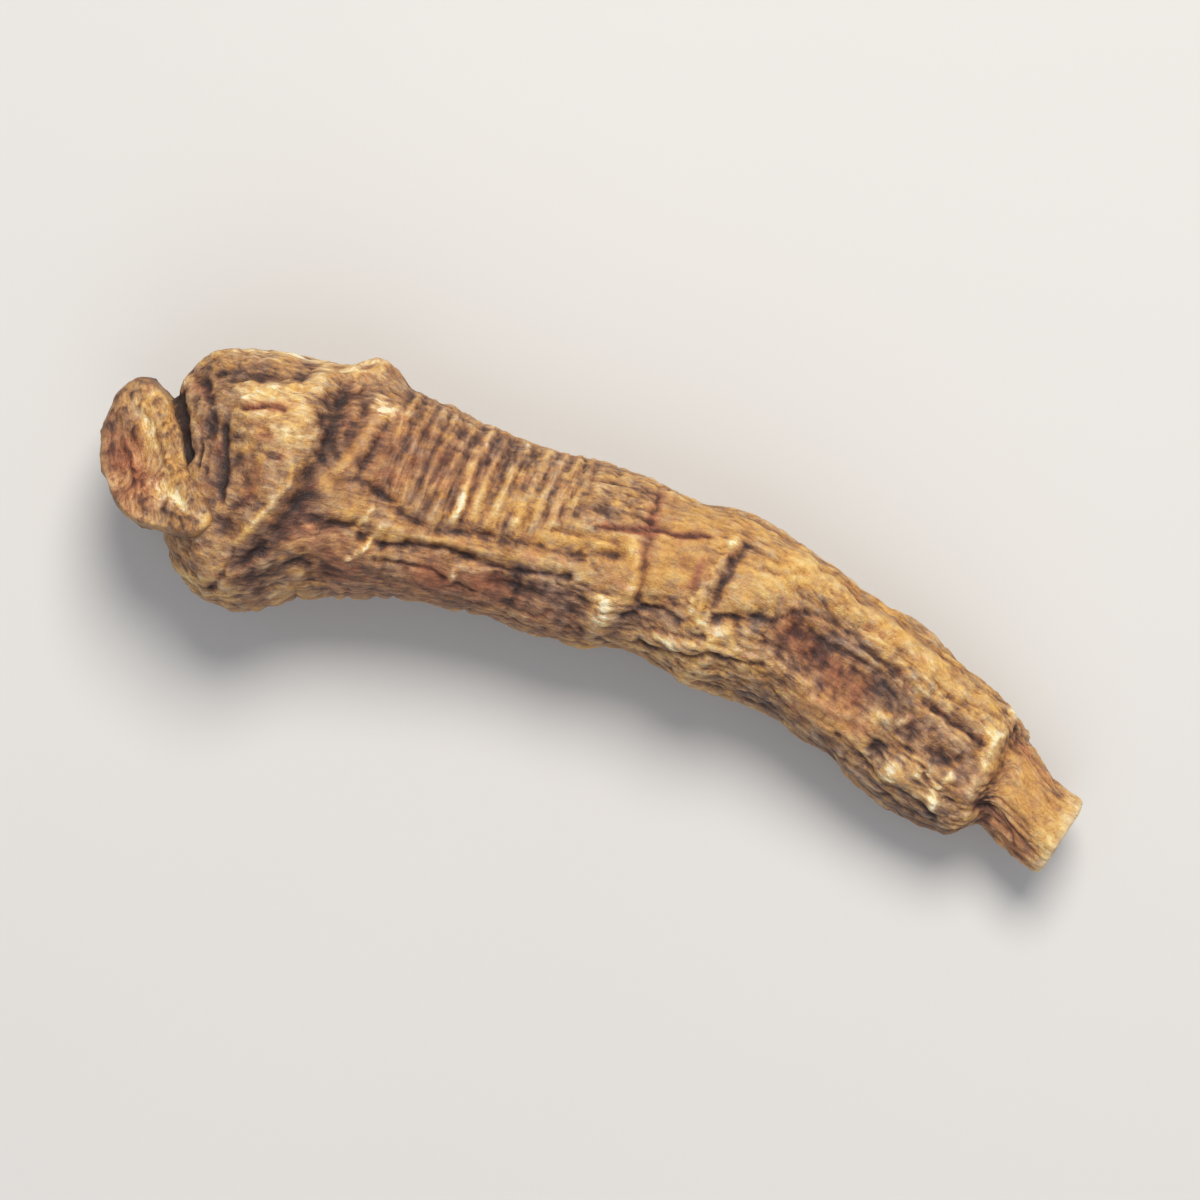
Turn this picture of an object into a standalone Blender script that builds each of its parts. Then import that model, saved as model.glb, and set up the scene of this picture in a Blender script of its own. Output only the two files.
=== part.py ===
"""A dried ginseng root lying on its belly, grown as one piece and modelled as one solid.

The body is a loft through cross-sections from the crown at -X to the cut tail at +X.
Named ridges and grooves, rings round the neck and seeded wrinkles then move its surface
in and out. The short rhizome knob with its hollow stem scar is joined on at the crown.
Working lengths are in millimetres. The mesh is written in metres, with the origin at
the centre of the box round the root, on the surface that it rests on.
"""
import itertools
import math

import bpy
import numpy as np

MM = 0.001
SEED = 11

# Steps of the mesh along and round the body, and the narrowest detail that they can carry.
BODY_ROWS = 112
NECK_DENSITY = 1.15
COLUMNS = 41
CROWDING_ON_TOP = 0.30
NARROWEST_DETAIL = 0.62

# Cross-sections from crown to tail, in mm. Each joins a point on the edge towards +Y to one
# on the edge towards -Y. Then come the height of its widest level over the surface, how far
# it rises above that level and how far it drops below it.
SECTIONS = (
    (-24.4, 6.2, -22.9, -1.9, 5.5, 2.7, 3.5),
    (-23.5, 7.5, -22.1, -3.2, 5.5, 3.8, 4.7),
    (-21.6, 8.4, -20.5, -4.5, 5.6, 4.8, 5.6),
    (-19.0, 9.0, -18.2, -4.7, 5.6, 5.7, 5.9),
    (-17.0, 9.3, -16.8, -4.4, 5.6, 5.7, 5.9),
    (-15.3, 9.5, -15.0, -3.1, 5.5, 5.3, 5.3),
    (-13.3, 9.5, -13.0, -2.2, 5.3, 4.9, 4.9),
    (-11.3, 9.4, -11.1, -1.5, 5.2, 4.8, 4.8),
    (-7.5, 9.1, -7.4, -0.6, 5.0, 4.7, 4.5),
    (-2.5, 9.5, -2.5, -0.3, 4.8, 4.6, 4.5),
    (0.2, 9.65, 0.0, 0.0, 4.7, 4.6, 4.5),
    (3.0, 9.6, 2.7, 0.5, 4.5, 4.7, 4.75),
    (5.6, 9.85, 5.0, 0.3, 4.5, 4.7, 4.8),
    (8.3, 9.5, 7.2, 0.5, 4.4, 4.5, 4.65),
    (11.0, 8.8, 9.2, 0.5, 4.2, 4.2, 4.1),
    (13.6, 8.0, 11.3, 0.1, 4.1, 3.9, 3.8),
    (16.2, 7.5, 13.6, -0.7, 3.9, 3.7, 3.5),
    (18.8, 6.5, 16.0, -1.4, 3.6, 3.5, 3.6),
    (21.0, 5.9, 18.2, -2.0, 3.4, 3.4, 3.7),
    (22.4, 5.3, 20.2, -2.2, 3.3, 3.2, 3.5),
    (23.2, 4.7, 21.7, -2.0, 3.3, 2.9, 3.0),
    (23.9, 4.1, 22.7, -1.0, 3.3, 2.5, 2.4),
    (25.0, 3.3, 23.9, -1.2, 3.4, 2.2, 2.1),
    (26.2, 2.7, 25.1, -1.8, 3.5, 2.1, 2.0),
    (27.3, 2.4, 26.4, -2.2, 3.5, 2.0, 2.0),
)
SECTION_SQUARENESS = 2.25

# The blunt crown end, and the cut face at the tail, worn round its rim.
CROWN_DOME_LENGTH = 1.1
CROWN_DOME_ROWS = 5
CUT_RIM_ROUNDING = 0.40
CUT_FACE_SCALES = (0.90, 0.55, 0.25)

# Ridges (height above zero) and grooves (below) on the side that faces up:
# name, half-width, height, then the points that the line runs through, seen from above.
LINES = (
    ("rim valley", 0.70, -0.45, ((-22.8, 6.4), (-20.8, 7.0), (-18.6, 7.9))),
    ("shoulder ridge", 0.60, 0.55,
     ((-21.3, 5.7), (-19.5, 6.4), (-17.6, 7.6), (-16.6, 8.6), (-15.7, 9.1))),
    ("shoulder facet", 1.80, 0.45, ((-19.6, 4.9), (-18.0, 4.9))),
    ("facet edge", 0.50, 0.35, ((-17.2, 7.6), (-17.3, 6.0), (-17.4, 4.2))),
    ("waist hollow", 0.80, -0.75,
     ((-16.3, 7.6), (-15.9, 5.5), (-16.0, 3.5), (-16.0, 1.6), (-16.7, -0.4), (-17.5, -2.2))),
    ("diagonal ridge", 0.48, 0.60,
     ((-17.2, 3.3), (-17.0, 2.0), (-17.4, 0.8), (-18.0, -0.4), (-18.7, -1.6))),
    ("crown crease", 0.50, -0.70, ((-21.5, 4.4), (-20.9, 2.5), (-20.4, 1.3), (-20.2, 0.0))),
    ("crown furrow", 0.50, -0.45, ((-23.4, 5.8), (-22.4, 4.8), (-21.9, 3.4))),
    ("facet foot", 1.00, -0.45, ((-19.9, 2.6), (-19.0, 1.0), (-19.3, -0.6))),
    ("lower bulge", 1.60, 0.55, ((-20.0, -2.4), (-18.9, -3.2))),
    ("bulge side", 0.80, -0.50, ((-17.0, -3.0), (-15.6, -1.8), (-14.0, -1.2))),
    ("waist crease", 0.45, -0.40, ((-15.9, 1.1), (-14.5, 1.0), (-13.0, 1.4))),
    ("first fold", 0.45, 0.45, ((-13.9, 7.2), (-14.2, 5.2), (-14.9, 3.9))),
    ("fold valley", 0.50, -0.40, ((-14.8, 7.6), (-15.2, 6.2), (-15.0, 5.2))),
    ("second fold", 0.42, 0.35, ((-13.2, 4.2), (-13.4, 2.9), (-13.6, 1.7))),
    ("upper long groove", 0.45, -0.50,
     ((-13.2, 3.8), (-11.0, 2.9), (-9.0, 2.8), (-7.0, 3.4), (-4.5, 3.9), (-2.0, 4.3), (0.0, 5.0))),
    ("band between grooves", 0.60, 0.30, ((-12.5, 2.1), (-9.5, 2.4), (-6.5, 2.8), (-3.5, 3.3))),
    ("lower long groove", 0.45, -0.50,
     ((-13.0, 1.2), (-11.5, 1.1), (-10.0, 1.6), (-8.5, 2.0), (-6.0, 2.1), (-4.0, 2.5), (-2.0, 3.1))),
    ("flank hollow", 1.10, -0.45, ((-5.0, 1.4), (-3.0, 1.2), (-1.2, 1.4))),
    ("body ring groove", 0.42, -0.50,
     ((1.0, 9.2), (1.3, 7.0), (1.55, 5.0), (1.95, 3.2), (1.5, 2.2))),
    ("body ring edge", 0.45, 0.40, ((0.6, 6.0), (1.1, 5.2), (1.4, 3.8), (0.9, 2.8), (0.4, 1.8))),
    ("body swell", 1.60, 0.35, ((2.5, 5.5), (3.5, 6.8))),
    ("scar ridge", 0.42, 0.60,
     ((5.6, 8.2), (5.4, 7.0), (5.2, 6.0), (4.95, 5.0), (5.0, 4.0), (5.4, 3.2))),
    ("scar groove", 0.42, -0.45, ((6.05, 7.8), (5.95, 6.0), (5.9, 4.6))),
    ("knuckle", 0.55, 0.50, ((6.3, 2.8), (6.8, 3.4))),
    ("edge knuckle", 0.70, 0.50, ((5.5, 0.5), (6.2, 1.3))),
    ("second swell", 1.50, 0.40, ((7.5, 6.3), (8.5, 7.0))),
    ("tail crest", 0.90, 0.55, ((9.0, 8.0), (12.0, 7.3), (15.0, 6.5), (18.0, 5.6), (21.0, 4.8))),
    ("crest groove", 0.50, -0.70,
     ((6.0, 4.2), (7.5, 4.65), (8.8, 5.0), (9.6, 5.8), (11.2, 6.2), (13.0, 5.8), (14.6, 5.0),
      (16.0, 4.5), (18.0, 3.8), (20.0, 3.5), (21.5, 3.2))),
    ("tail hollow", 1.30, -0.60, ((10.5, 4.6), (13.0, 3.9), (15.5, 3.3), (17.5, 2.4))),
    ("flank ridge", 0.70, 0.40, ((3.2, 1.7), (5.0, 2.0), (7.5, 2.6), (10.5, 2.4), (13.5, 1.6))),
    ("first tail knob", 0.65, 0.45, ((15.8, 2.2), (17.0, 2.4))),
    ("second tail knob", 0.75, 0.55, ((17.2, -0.4), (18.3, 0.1))),
    ("third tail knob", 0.50, 0.50, ((20.4, 0.6), (19.9, -0.3), (20.2, -1.0))),
    ("tail valley", 0.70, -0.45, ((16.3, 0.7), (18.0, 1.3), (20.5, 1.6))),
    ("collar", 0.60, 0.40, ((22.2, 4.4), (21.8, 3.0), (21.9, 1.8), (21.6, 0.2))),
    ("collar step", 0.55, -0.35, ((23.2, 4.0), (23.0, 3.2), (22.8, 1.5), (22.6, 0.0))),
)

# Rings pressed into the neck: place along X and height of each raised ring.
RINGS = (
    (-12.7, 0.24), (-11.85, 0.16), (-11.15, 0.14), (-10.4, 0.20), (-9.55, 0.17), (-8.5, 0.30),
    (-7.6, 0.24), (-6.5, 0.28), (-5.35, 0.26), (-4.5, 0.18), (-3.75, 0.20), (-3.0, 0.14),
)
RING_HALF_WIDTH = 0.27
RING_WOBBLE = 0.22
RING_LOW_SIDE_DEGREES = (205.0, 250.0)

# Stumps of side rootlets and other lumps: place along X, angle round the body in degrees
# (0 towards +Y, 90 up, 180 towards -Y, 270 down), half-width and height.
LUMPS = (
    ("bump over the waist", -14.95, 15.0, 1.00, 0.66),
    ("bump's far shoulder", -14.0, 13.0, 0.80, 0.42),
    ("crown corner", -22.6, 30.0, 1.50, 0.35),
    ("rear rootlet stump", -1.5, -32.0, 0.90, 0.75),
    ("rear knob", 12.5, -40.0, 1.10, 0.55),
    ("front rootlet stump", 9.5, 214.0, 0.80, 0.65),
    ("front shoulder knob", -18.5, 205.0, 1.70, 0.60),
    ("belly rootlet stump", -8.5, 252.0, 0.80, 0.35),
    ("rear shoulder fold", -19.5, -30.0, 1.80, 0.55),
)

# Seeded wrinkles: longest wave along the body and round it, depth on the side that faces
# up and depth on the sides and the belly.
NOISE_RADIUS = 4.7
SWELLS = (6.0, 4.2, 0.16, 0.42)
LONG_WRINKLES = (8.5, 1.9, 0.14, 0.34)
CROSS_WRINKLES = (1.25, 5.0, 0.08, 0.17)
WRINKLE_SHARPNESS = 0.20

# The rhizome knob: its rim seen from above, the slope of that rim, the hollow of the stem
# scar in it, and the stalk that joins it to the crown.
KNOB_RIM = (
    (-27.4, 3.0), (-27.2, 1.0), (-26.3, -0.6), (-25.0, -1.8), (-23.7, -2.3), (-22.3, -2.1),
    (-20.9, -1.8), (-20.2, -1.0), (-21.0, 0.0), (-22.5, 1.2), (-23.6, 2.9), (-25.2, 4.4),
    (-26.8, 4.5),
)
KNOB_CENTRE = (-24.1, 0.9, 8.7)
KNOB_RIM_SLOPE = (0.38, -0.30)
KNOB_STEPS_ROUND = 30
SCAR_CENTRE = (-25.2, 0.6)
SCAR_HALF_WIDTH = 1.55
SCAR_DEPTH = 1.15
KNOB_LIP_HEIGHT = 0.35
KNOB_FACE_SCALES = (0.22, 0.44, 0.62, 0.78, 0.90, 1.0)
KNOB_WALL = (
    (0.5, 0.0, 1.05), (1.5, 0.02, 1.05), (2.6, 0.08, 1.0), (3.6, 0.25, 0.9), (4.2, 0.55, 0.78),
    (4.5, 1.0, 0.66),
)
KNOB_FOOT = (-21.2, 2.2, 5.6)
KNOB_ROUGHNESS = 0.22

ROOT_COLOUR = (0.305, 0.171, 0.091, 1.0)
ROOT_ROUGHNESS = 0.8
SHARP_EDGE_DEGREES = 80.0


def smooth_step(low, high, values):
    """0 below low, 1 above high and an eased slope between."""
    share = np.clip((values - low) / (high - low), 0.0, 1.0)
    return share * share * (3.0 - 2.0 * share)


def read_curve(knots, values, places):
    """Smooth curve through the values at the knots, read at the places."""
    values = np.asarray(values, float)
    slopes = np.gradient(values, knots, axis=0)
    left = np.clip(np.searchsorted(knots, places, side="right") - 1, 0, len(knots) - 2)
    gap = (knots[left + 1] - knots[left])[:, None]
    share = (places[:, None] - knots[left][:, None]) / gap
    cube = share ** 3
    square = share ** 2
    return ((2 * cube - 3 * square + 1) * values[left]
            + (cube - 2 * square + share) * gap * slopes[left]
            + (3 * square - 2 * cube) * values[left + 1]
            + (cube - square) * gap * slopes[left + 1])


def gradient_noise(points, seed):
    """Seeded gradient noise, about -1 to 1, at each point of an array of 3-D points."""
    random = np.random.default_rng(seed)
    order = random.permutation(256)
    order = np.concatenate([order, order])
    directions = random.normal(size=(256, 3))
    directions /= np.linalg.norm(directions, axis=1)[:, None]
    cell = np.floor(points).astype(int)
    inside = points - cell
    eased = inside ** 3 * (inside * (inside * 6.0 - 15.0) + 10.0)
    total = np.zeros(points.shape[:-1])
    for corner in itertools.product((0, 1), repeat=3):
        place = (cell + corner) % 256
        pick = order[order[order[place[..., 0]] + place[..., 1]] + place[..., 2]]
        push = (directions[pick] * (inside - corner)).sum(axis=-1)
        total += push * np.prod(np.where(corner, eased, 1.0 - eased), axis=-1)
    return total * 1.7


def line_distance(points, x, y):
    """Distance in plan from each (x, y) to the line through the points."""
    nearest = np.full(x.shape, np.inf)
    for (ax, ay), (bx, by) in zip(points[:-1], points[1:]):
        length_squared = (bx - ax) ** 2 + (by - ay) ** 2
        share = np.clip(((x - ax) * (bx - ax) + (y - ay) * (by - ay)) / length_squared, 0.0, 1.0)
        away = np.hypot(x - ax - share * (bx - ax), y - ay - share * (by - ay))
        nearest = np.minimum(nearest, away)
    return nearest


def body_rows():
    """Rows of the loft: centre, direction across, the three half-sizes and place along it."""
    table = np.array(SECTIONS)
    middles = (table[:, 0:2] + table[:, 2:4]) / 2.0
    steps = np.linalg.norm(np.diff(middles, axis=0), axis=1)
    knots = np.concatenate([[0.0], np.cumsum(steps)])
    fine = np.linspace(0.0, knots[-1], 2000)
    along_x = np.interp(fine, knots, middles[:, 0])
    neck = smooth_step(-14.5, -12.5, along_x) * (1.0 - smooth_step(-3.0, -1.0, along_x))
    weight = np.cumsum(1.0 + NECK_DENSITY * neck)
    share = (weight - weight[0]) / (weight[-1] - weight[0])
    places = np.interp(np.linspace(0.0, 1.0, BODY_ROWS), share, fine)
    return places, read_curve(knots, table, places)


def crown_dome(places, rows):
    """Rows that close the crown end with a blunt dome, smallest first."""
    scales = np.arange(1, CROWN_DOME_ROWS) / CROWN_DOME_ROWS
    shifts = CROWN_DOME_LENGTH * (1.0 - scales ** 2)
    first = rows[0]
    middle = (first[0:2] + first[2:4]) / 2.0
    half = (first[0:2] - first[2:4]) / 2.0
    outward = np.array([-half[1], half[0]]) / np.linalg.norm(half)
    dome = []
    for scale, shift in zip(scales, shifts):
        centre = middle + outward * shift
        dome.append(np.concatenate([centre + half * scale, centre - half * scale,
                                    [first[4]], first[5:7] * scale]))
    starts = places[0] - shifts
    pole = np.array([*(middle + outward * CROWN_DOME_LENGTH), first[4]])
    return starts, np.array(dome), pole


def cut_face(rows):
    """Rows of the rounded rim and the flat face where the tail was cut."""
    last = rows[-1]
    middle = (last[0:2] + last[2:4]) / 2.0
    half = (last[0:2] - last[2:4]) / 2.0
    outward = np.array([half[1], -half[0]]) / np.linalg.norm(half)
    centre = middle + outward * CUT_RIM_ROUNDING
    face = []
    for scale in CUT_FACE_SCALES:
        face.append(np.concatenate([centre + half * scale, centre - half * scale,
                                    [last[4]], last[5:7] * scale]))
    pole = np.array([*centre, last[4]])
    return np.array(face), pole


def lay_out(rows, angles):
    """Points of the plain loft, before any ridge or wrinkle: rows by columns by XYZ."""
    power = 2.0 / SECTION_SQUARENESS
    across = np.sign(np.cos(angles)) * np.abs(np.cos(angles)) ** power
    upward = np.sign(np.sin(angles)) * np.abs(np.sin(angles)) ** power
    middle = (rows[:, None, 0:2] + rows[:, None, 2:4]) / 2.0
    half = (rows[:, None, 0:2] - rows[:, None, 2:4]) / 2.0
    plan = middle + half * across[None, :, None]
    height = np.where(upward >= 0.0, rows[:, None, 5] * upward, rows[:, None, 6] * upward)
    return np.dstack([plan, (rows[:, None, 4] + height)[..., None]])


def outward_normals(grid):
    """Unit normals of a grid that is closed round its columns."""
    along = np.gradient(grid, axis=0)
    around = np.roll(grid, -1, axis=1) - np.roll(grid, 1, axis=1)
    normals = np.cross(around, along)
    return normals / np.maximum(np.linalg.norm(normals, axis=2), 1e-9)[..., None]


def line_relief(x, y, upward):
    """Height of the named ridges and grooves, fading out past the widest level."""
    ridges = np.zeros(x.shape)
    grooves = np.zeros(x.shape)
    for _name, half_width, height, points in LINES:
        half_width = max(half_width, NARROWEST_DETAIL)
        relief = height * np.exp(-(line_distance(points, x, y) / half_width) ** 2)
        ridges = np.maximum(ridges, relief)
        grooves = np.minimum(grooves, relief)
    return (ridges + grooves) * smooth_step(-0.15, 0.25, upward)


def ring_relief(grid, straight, angles, upward):
    """Raised rings round the neck, which stop at the upper long groove."""
    x = grid[..., 0]
    wobble = RING_WOBBLE * gradient_noise(straight / (2.5, 3.0, 3.0), SEED + 1)
    relief = np.zeros(x.shape)
    for place, height in RINGS:
        relief += height * np.exp(-((x + wobble - place) / RING_HALF_WIDTH) ** 2)
    first, last = RINGS[0][0], RINGS[-1][0]
    on_neck = smooth_step(first - 0.8, first, x) * (1.0 - smooth_step(last, last + 0.8, x))
    relief -= 0.10 * on_neck
    groove = np.array(dict((line[0], line[3]) for line in LINES)["upper long groove"])
    above_groove = smooth_step(0.1, 0.9, grid[..., 1] - np.interp(x, groove[:, 0], groove[:, 1]))
    degrees = np.degrees(angles)[None, :] % 360.0
    low, high = RING_LOW_SIDE_DEGREES
    behind = smooth_step(low, high, degrees) + (degrees < 90.0)
    up = smooth_step(-0.1, 0.2, upward)
    return relief * (up * above_groove + (1.0 - up) * np.clip(behind, 0.0, 1.0))


def lump_relief(grid, angles):
    """Rounded stumps and knobs placed by their angle round the body."""
    middle_x = grid[..., 0].mean(axis=1)[:, None]
    radius = np.linalg.norm(grid - grid.mean(axis=1)[:, None, :], axis=2)
    relief = np.zeros(grid.shape[:2])
    for _name, place, degrees, half_width, height in LUMPS:
        turn = angles[None, :] - math.radians(degrees)
        turn = np.arctan2(np.sin(turn), np.cos(turn))
        away = np.hypot(middle_x - place, turn * radius)
        relief += height * np.exp(-(away / half_width) ** 2)
    return relief


def creases(values):
    """Folded skin: rounded swells with narrow valleys where the values pass through zero."""
    return 0.5 * np.abs(values) - np.exp(-(values / WRINKLE_SHARPNESS) ** 2)


def wrinkle_relief(straight, upward, x):
    """Seeded swells, lengthwise wrinkles and faint cross wrinkles, deeper on the belly."""
    up = smooth_step(-0.2, 0.5, upward)
    bend = 0.35 * gradient_noise(straight / 2.6, SEED + 2)
    relief = np.zeros(upward.shape)
    past_neck = smooth_step(-6.0, 2.0, x) * (1.0 - 0.6 * smooth_step(21.5, 23.5, x))
    layers = (
        (SWELLS, lambda noise: noise, 1.0),
        (LONG_WRINKLES, creases, 0.35 + 0.65 * past_neck),
        (CROSS_WRINKLES, creases, 1.0 - 0.75 * past_neck),
    )
    for number, (layer, shape, share) in enumerate(layers):
        along, around, depth_up, depth_down = layer
        noise = gradient_noise(straight / (along, around, around) + bend[..., None] * 0.6,
                               SEED + 3 + number)
        relief += (depth_up * up + depth_down * (1.0 - up)) * shape(noise) * share
    return relief


def body_mesh():
    """Points and faces of the body, closed at the crown by a pole and at the cut by a face."""
    places, rows = body_rows()
    starts, dome, crown_pole = crown_dome(places, rows)
    face, cut_pole = cut_face(rows)
    places = np.concatenate([starts, places])
    rows = np.concatenate([dome, rows])
    angles = np.arange(COLUMNS) * (2.0 * math.pi / COLUMNS)
    angles = angles + CROWDING_ON_TOP * np.cos(angles)
    grid = lay_out(rows, angles)
    normals = outward_normals(grid)
    straight = np.dstack([
        np.broadcast_to(places[:, None], grid.shape[:2]),
        NOISE_RADIUS * np.broadcast_to(np.cos(angles), grid.shape[:2]),
        NOISE_RADIUS * np.broadcast_to(np.sin(angles), grid.shape[:2]),
    ])
    upward = np.broadcast_to(np.sin(angles), grid.shape[:2])
    relief = line_relief(grid[..., 0], grid[..., 1], upward)
    relief += ring_relief(grid, straight, angles, upward)
    relief += lump_relief(grid, angles)
    relief += wrinkle_relief(straight, upward, grid[..., 0])
    from_pole = smooth_step(-CROWN_DOME_LENGTH, 0.6, places)[:, None]
    relief *= 0.25 + 0.75 * from_pole
    grid = grid + normals * relief[..., None]
    rim_relief = grid[-1] - lay_out(rows[-1:], angles)[0]
    cut = [ring + rim_relief * scale for ring, scale in zip(lay_out(face, angles), CUT_FACE_SCALES)]
    cut = flatten_cut(np.array(cut), cut_pole, rows[-1])
    return close_grid(np.concatenate([grid, cut]), crown_pole, cut_pole)


def flatten_cut(rings, cut_pole, last_row):
    """The rings of the cut, laid into the upright plane through its middle."""
    half = (last_row[0:2] - last_row[2:4]) / 2.0
    outward = np.array([half[1], -half[0], 0.0]) / np.linalg.norm(half)
    off_plane = (rings - cut_pole) @ outward
    return rings - off_plane[..., None] * outward


def close_grid(grid, first_pole, last_pole):
    """Points and faces of a grid that is closed round its columns and at both ends."""
    rows, columns = grid.shape[:2]
    points = [tuple(first_pole)] + [tuple(point) for point in grid.reshape(-1, 3)]
    points.append(tuple(last_pole))
    last = len(points) - 1
    faces = []
    for column in range(columns):
        after = (column + 1) % columns
        faces.append((0, 1 + after, 1 + column))
        for row in range(rows - 1):
            here = 1 + row * columns
            faces.append((here + column, here + after, here + columns + after,
                          here + columns + column))
        end = 1 + (rows - 1) * columns
        faces.append((last, end + column, end + after))
    return points, faces


def knob_mesh():
    """Points and faces of the rhizome knob, from the middle of its scar to its buried foot."""
    corners = len(KNOB_RIM)
    wrapped = np.array(KNOB_RIM[-2:] + KNOB_RIM + KNOB_RIM[:3])
    places = np.linspace(0.0, corners, KNOB_STEPS_ROUND, endpoint=False)
    outline = read_curve(np.arange(-2.0, corners + 3.0), wrapped, places)
    centre = np.array(KNOB_CENTRE)
    foot = np.array(KNOB_FOOT)
    rings = []
    for scale in KNOB_FACE_SCALES:
        plan = centre[:2] + (outline - centre[:2]) * scale
        rings.append(np.column_stack([plan, knob_face_height(plan, scale)]))
    for drop, toward_foot, scale in KNOB_WALL:
        plan = centre[:2] + (outline - centre[:2]) * scale
        ring = np.column_stack([plan, knob_plane_height(plan) - drop])
        sunk = foot - centre + (0.0, 0.0, drop)
        rings.append(ring + sunk * toward_foot)
    grid = np.array(rings)
    roughness = gradient_noise(grid / 1.6, SEED + 9)
    grid = grid + KNOB_ROUGHNESS * roughness[..., None] * outward_normals(grid)
    middle = np.array([*centre[:2], knob_face_height(centre[None, :2], 0.0)[0]])
    return close_grid(grid, middle, foot + (0.0, 0.0, -0.4))


def knob_plane_height(plan):
    """Height of the sloping plane through the rim."""
    return KNOB_CENTRE[2] + (plan - np.array(KNOB_CENTRE[:2])) @ np.array(KNOB_RIM_SLOPE)


def knob_face_height(plan, scale):
    """Height of the knob's face: a hollow scar inside a raised lip."""
    away = np.linalg.norm(plan - np.array(SCAR_CENTRE), axis=1)
    hollow = SCAR_DEPTH * np.exp(-(away / SCAR_HALF_WIDTH) ** 2)
    lip = KNOB_LIP_HEIGHT * math.sin(math.pi * max(scale, 0.5))
    return knob_plane_height(plan) - hollow + lip


def add_mesh(name, points, faces):
    """A new object with smooth shading, made from points in millimetres."""
    mesh = bpy.data.meshes.new(name)
    mesh.from_pydata([tuple(float(value) * MM for value in point) for point in points], [], faces)
    mesh.shade_smooth()
    mesh.set_sharp_from_angle(angle=math.radians(SHARP_EDGE_DEGREES))
    item = bpy.data.objects.new(name, mesh)
    bpy.context.scene.collection.objects.link(item)
    return item


def root_material():
    """Dull tan-brown dried skin."""
    material = bpy.data.materials.new("dried_root_skin")
    material.use_nodes = True
    shader = material.node_tree.nodes["Principled BSDF"]
    shader.inputs["Base Color"].default_value = ROOT_COLOUR
    shader.inputs["Roughness"].default_value = ROOT_ROUGHNESS
    shader.inputs["Metallic"].default_value = 0.0
    return material


def place_on_origin(body_points, knob_points):
    """Both sets of points, centred over the origin with the belly pressed flat at z = 0."""
    body = np.array(body_points)
    knob = np.array(knob_points)
    both = np.concatenate([body, knob])
    shift = np.array([*(both[:, :2].min(axis=0) + both[:, :2].max(axis=0)) / 2.0, 0.0])
    body = body - shift
    body[:, 2] = np.maximum(body[:, 2], 0.0)
    return body, knob - shift


def build():
    """The root: the lofted body with the rhizome knob joined on."""
    for item in list(bpy.data.objects):
        bpy.data.objects.remove(item, do_unlink=True)
    body_points, body_faces = body_mesh()
    knob_points, knob_faces = knob_mesh()
    body_points, knob_points = place_on_origin(body_points, knob_points)
    root = add_mesh("ginseng_root", body_points, body_faces)
    root.data.materials.append(root_material())
    knob = add_mesh("rhizome_knob", knob_points, knob_faces)
    knob.hide_render = True
    knob.display_type = "WIRE"
    join = root.modifiers.new("join_rhizome_knob", "BOOLEAN")
    join.operation = "UNION"
    join.solver = "EXACT"
    join.object = knob


build()
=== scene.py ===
"""Looks of a dried ginseng root: its finely wrinkled skin, its colours, light and camera.

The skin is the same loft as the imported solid, made from the same named sizes with far
smaller steps, so that fine wrinkles, rings, fibres and flakes are real geometry.
Working lengths are in millimetres unless a name ends in _M.
"""
import itertools
import math

import bpy
import numpy as np
from mathutils import Matrix, Vector, kdtree


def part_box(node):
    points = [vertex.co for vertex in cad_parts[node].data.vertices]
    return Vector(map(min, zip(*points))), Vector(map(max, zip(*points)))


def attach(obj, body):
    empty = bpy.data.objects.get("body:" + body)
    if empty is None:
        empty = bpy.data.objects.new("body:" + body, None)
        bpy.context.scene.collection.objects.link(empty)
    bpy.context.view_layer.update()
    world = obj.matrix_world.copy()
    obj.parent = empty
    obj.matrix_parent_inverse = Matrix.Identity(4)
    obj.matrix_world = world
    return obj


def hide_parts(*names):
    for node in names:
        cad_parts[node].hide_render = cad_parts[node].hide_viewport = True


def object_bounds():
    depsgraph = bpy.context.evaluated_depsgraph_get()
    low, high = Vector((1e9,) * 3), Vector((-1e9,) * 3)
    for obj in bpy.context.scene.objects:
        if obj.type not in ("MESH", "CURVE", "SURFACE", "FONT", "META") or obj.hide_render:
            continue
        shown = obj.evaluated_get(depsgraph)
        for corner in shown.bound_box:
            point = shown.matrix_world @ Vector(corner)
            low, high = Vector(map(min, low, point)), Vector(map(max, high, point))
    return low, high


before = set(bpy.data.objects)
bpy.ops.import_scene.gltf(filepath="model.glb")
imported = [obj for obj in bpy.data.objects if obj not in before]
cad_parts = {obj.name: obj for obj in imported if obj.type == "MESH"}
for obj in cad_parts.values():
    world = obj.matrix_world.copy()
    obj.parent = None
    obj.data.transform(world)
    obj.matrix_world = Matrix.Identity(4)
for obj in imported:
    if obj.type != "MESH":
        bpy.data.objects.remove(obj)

CAD_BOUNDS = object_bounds()
NODE = "ginseng_root"
MM = 0.001
SEED = 11
NOISE_GAIN = 1.7

# Steps of the fine mesh along and round the body and the knob. The rows lie closer together
# on the neck, which eases in and out between four places along X.
BODY_ROWS = 362
NECK_DENSITY = 0.55
NECK_SPAN = (-14.5, -12.5, -3.0, -1.0)
COLUMNS = 226
CROWDING_ON_TOP = 0.22
KNOB_STEPS_ROUND = 132
KNOB_STEPS_DOWN = 54

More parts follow.
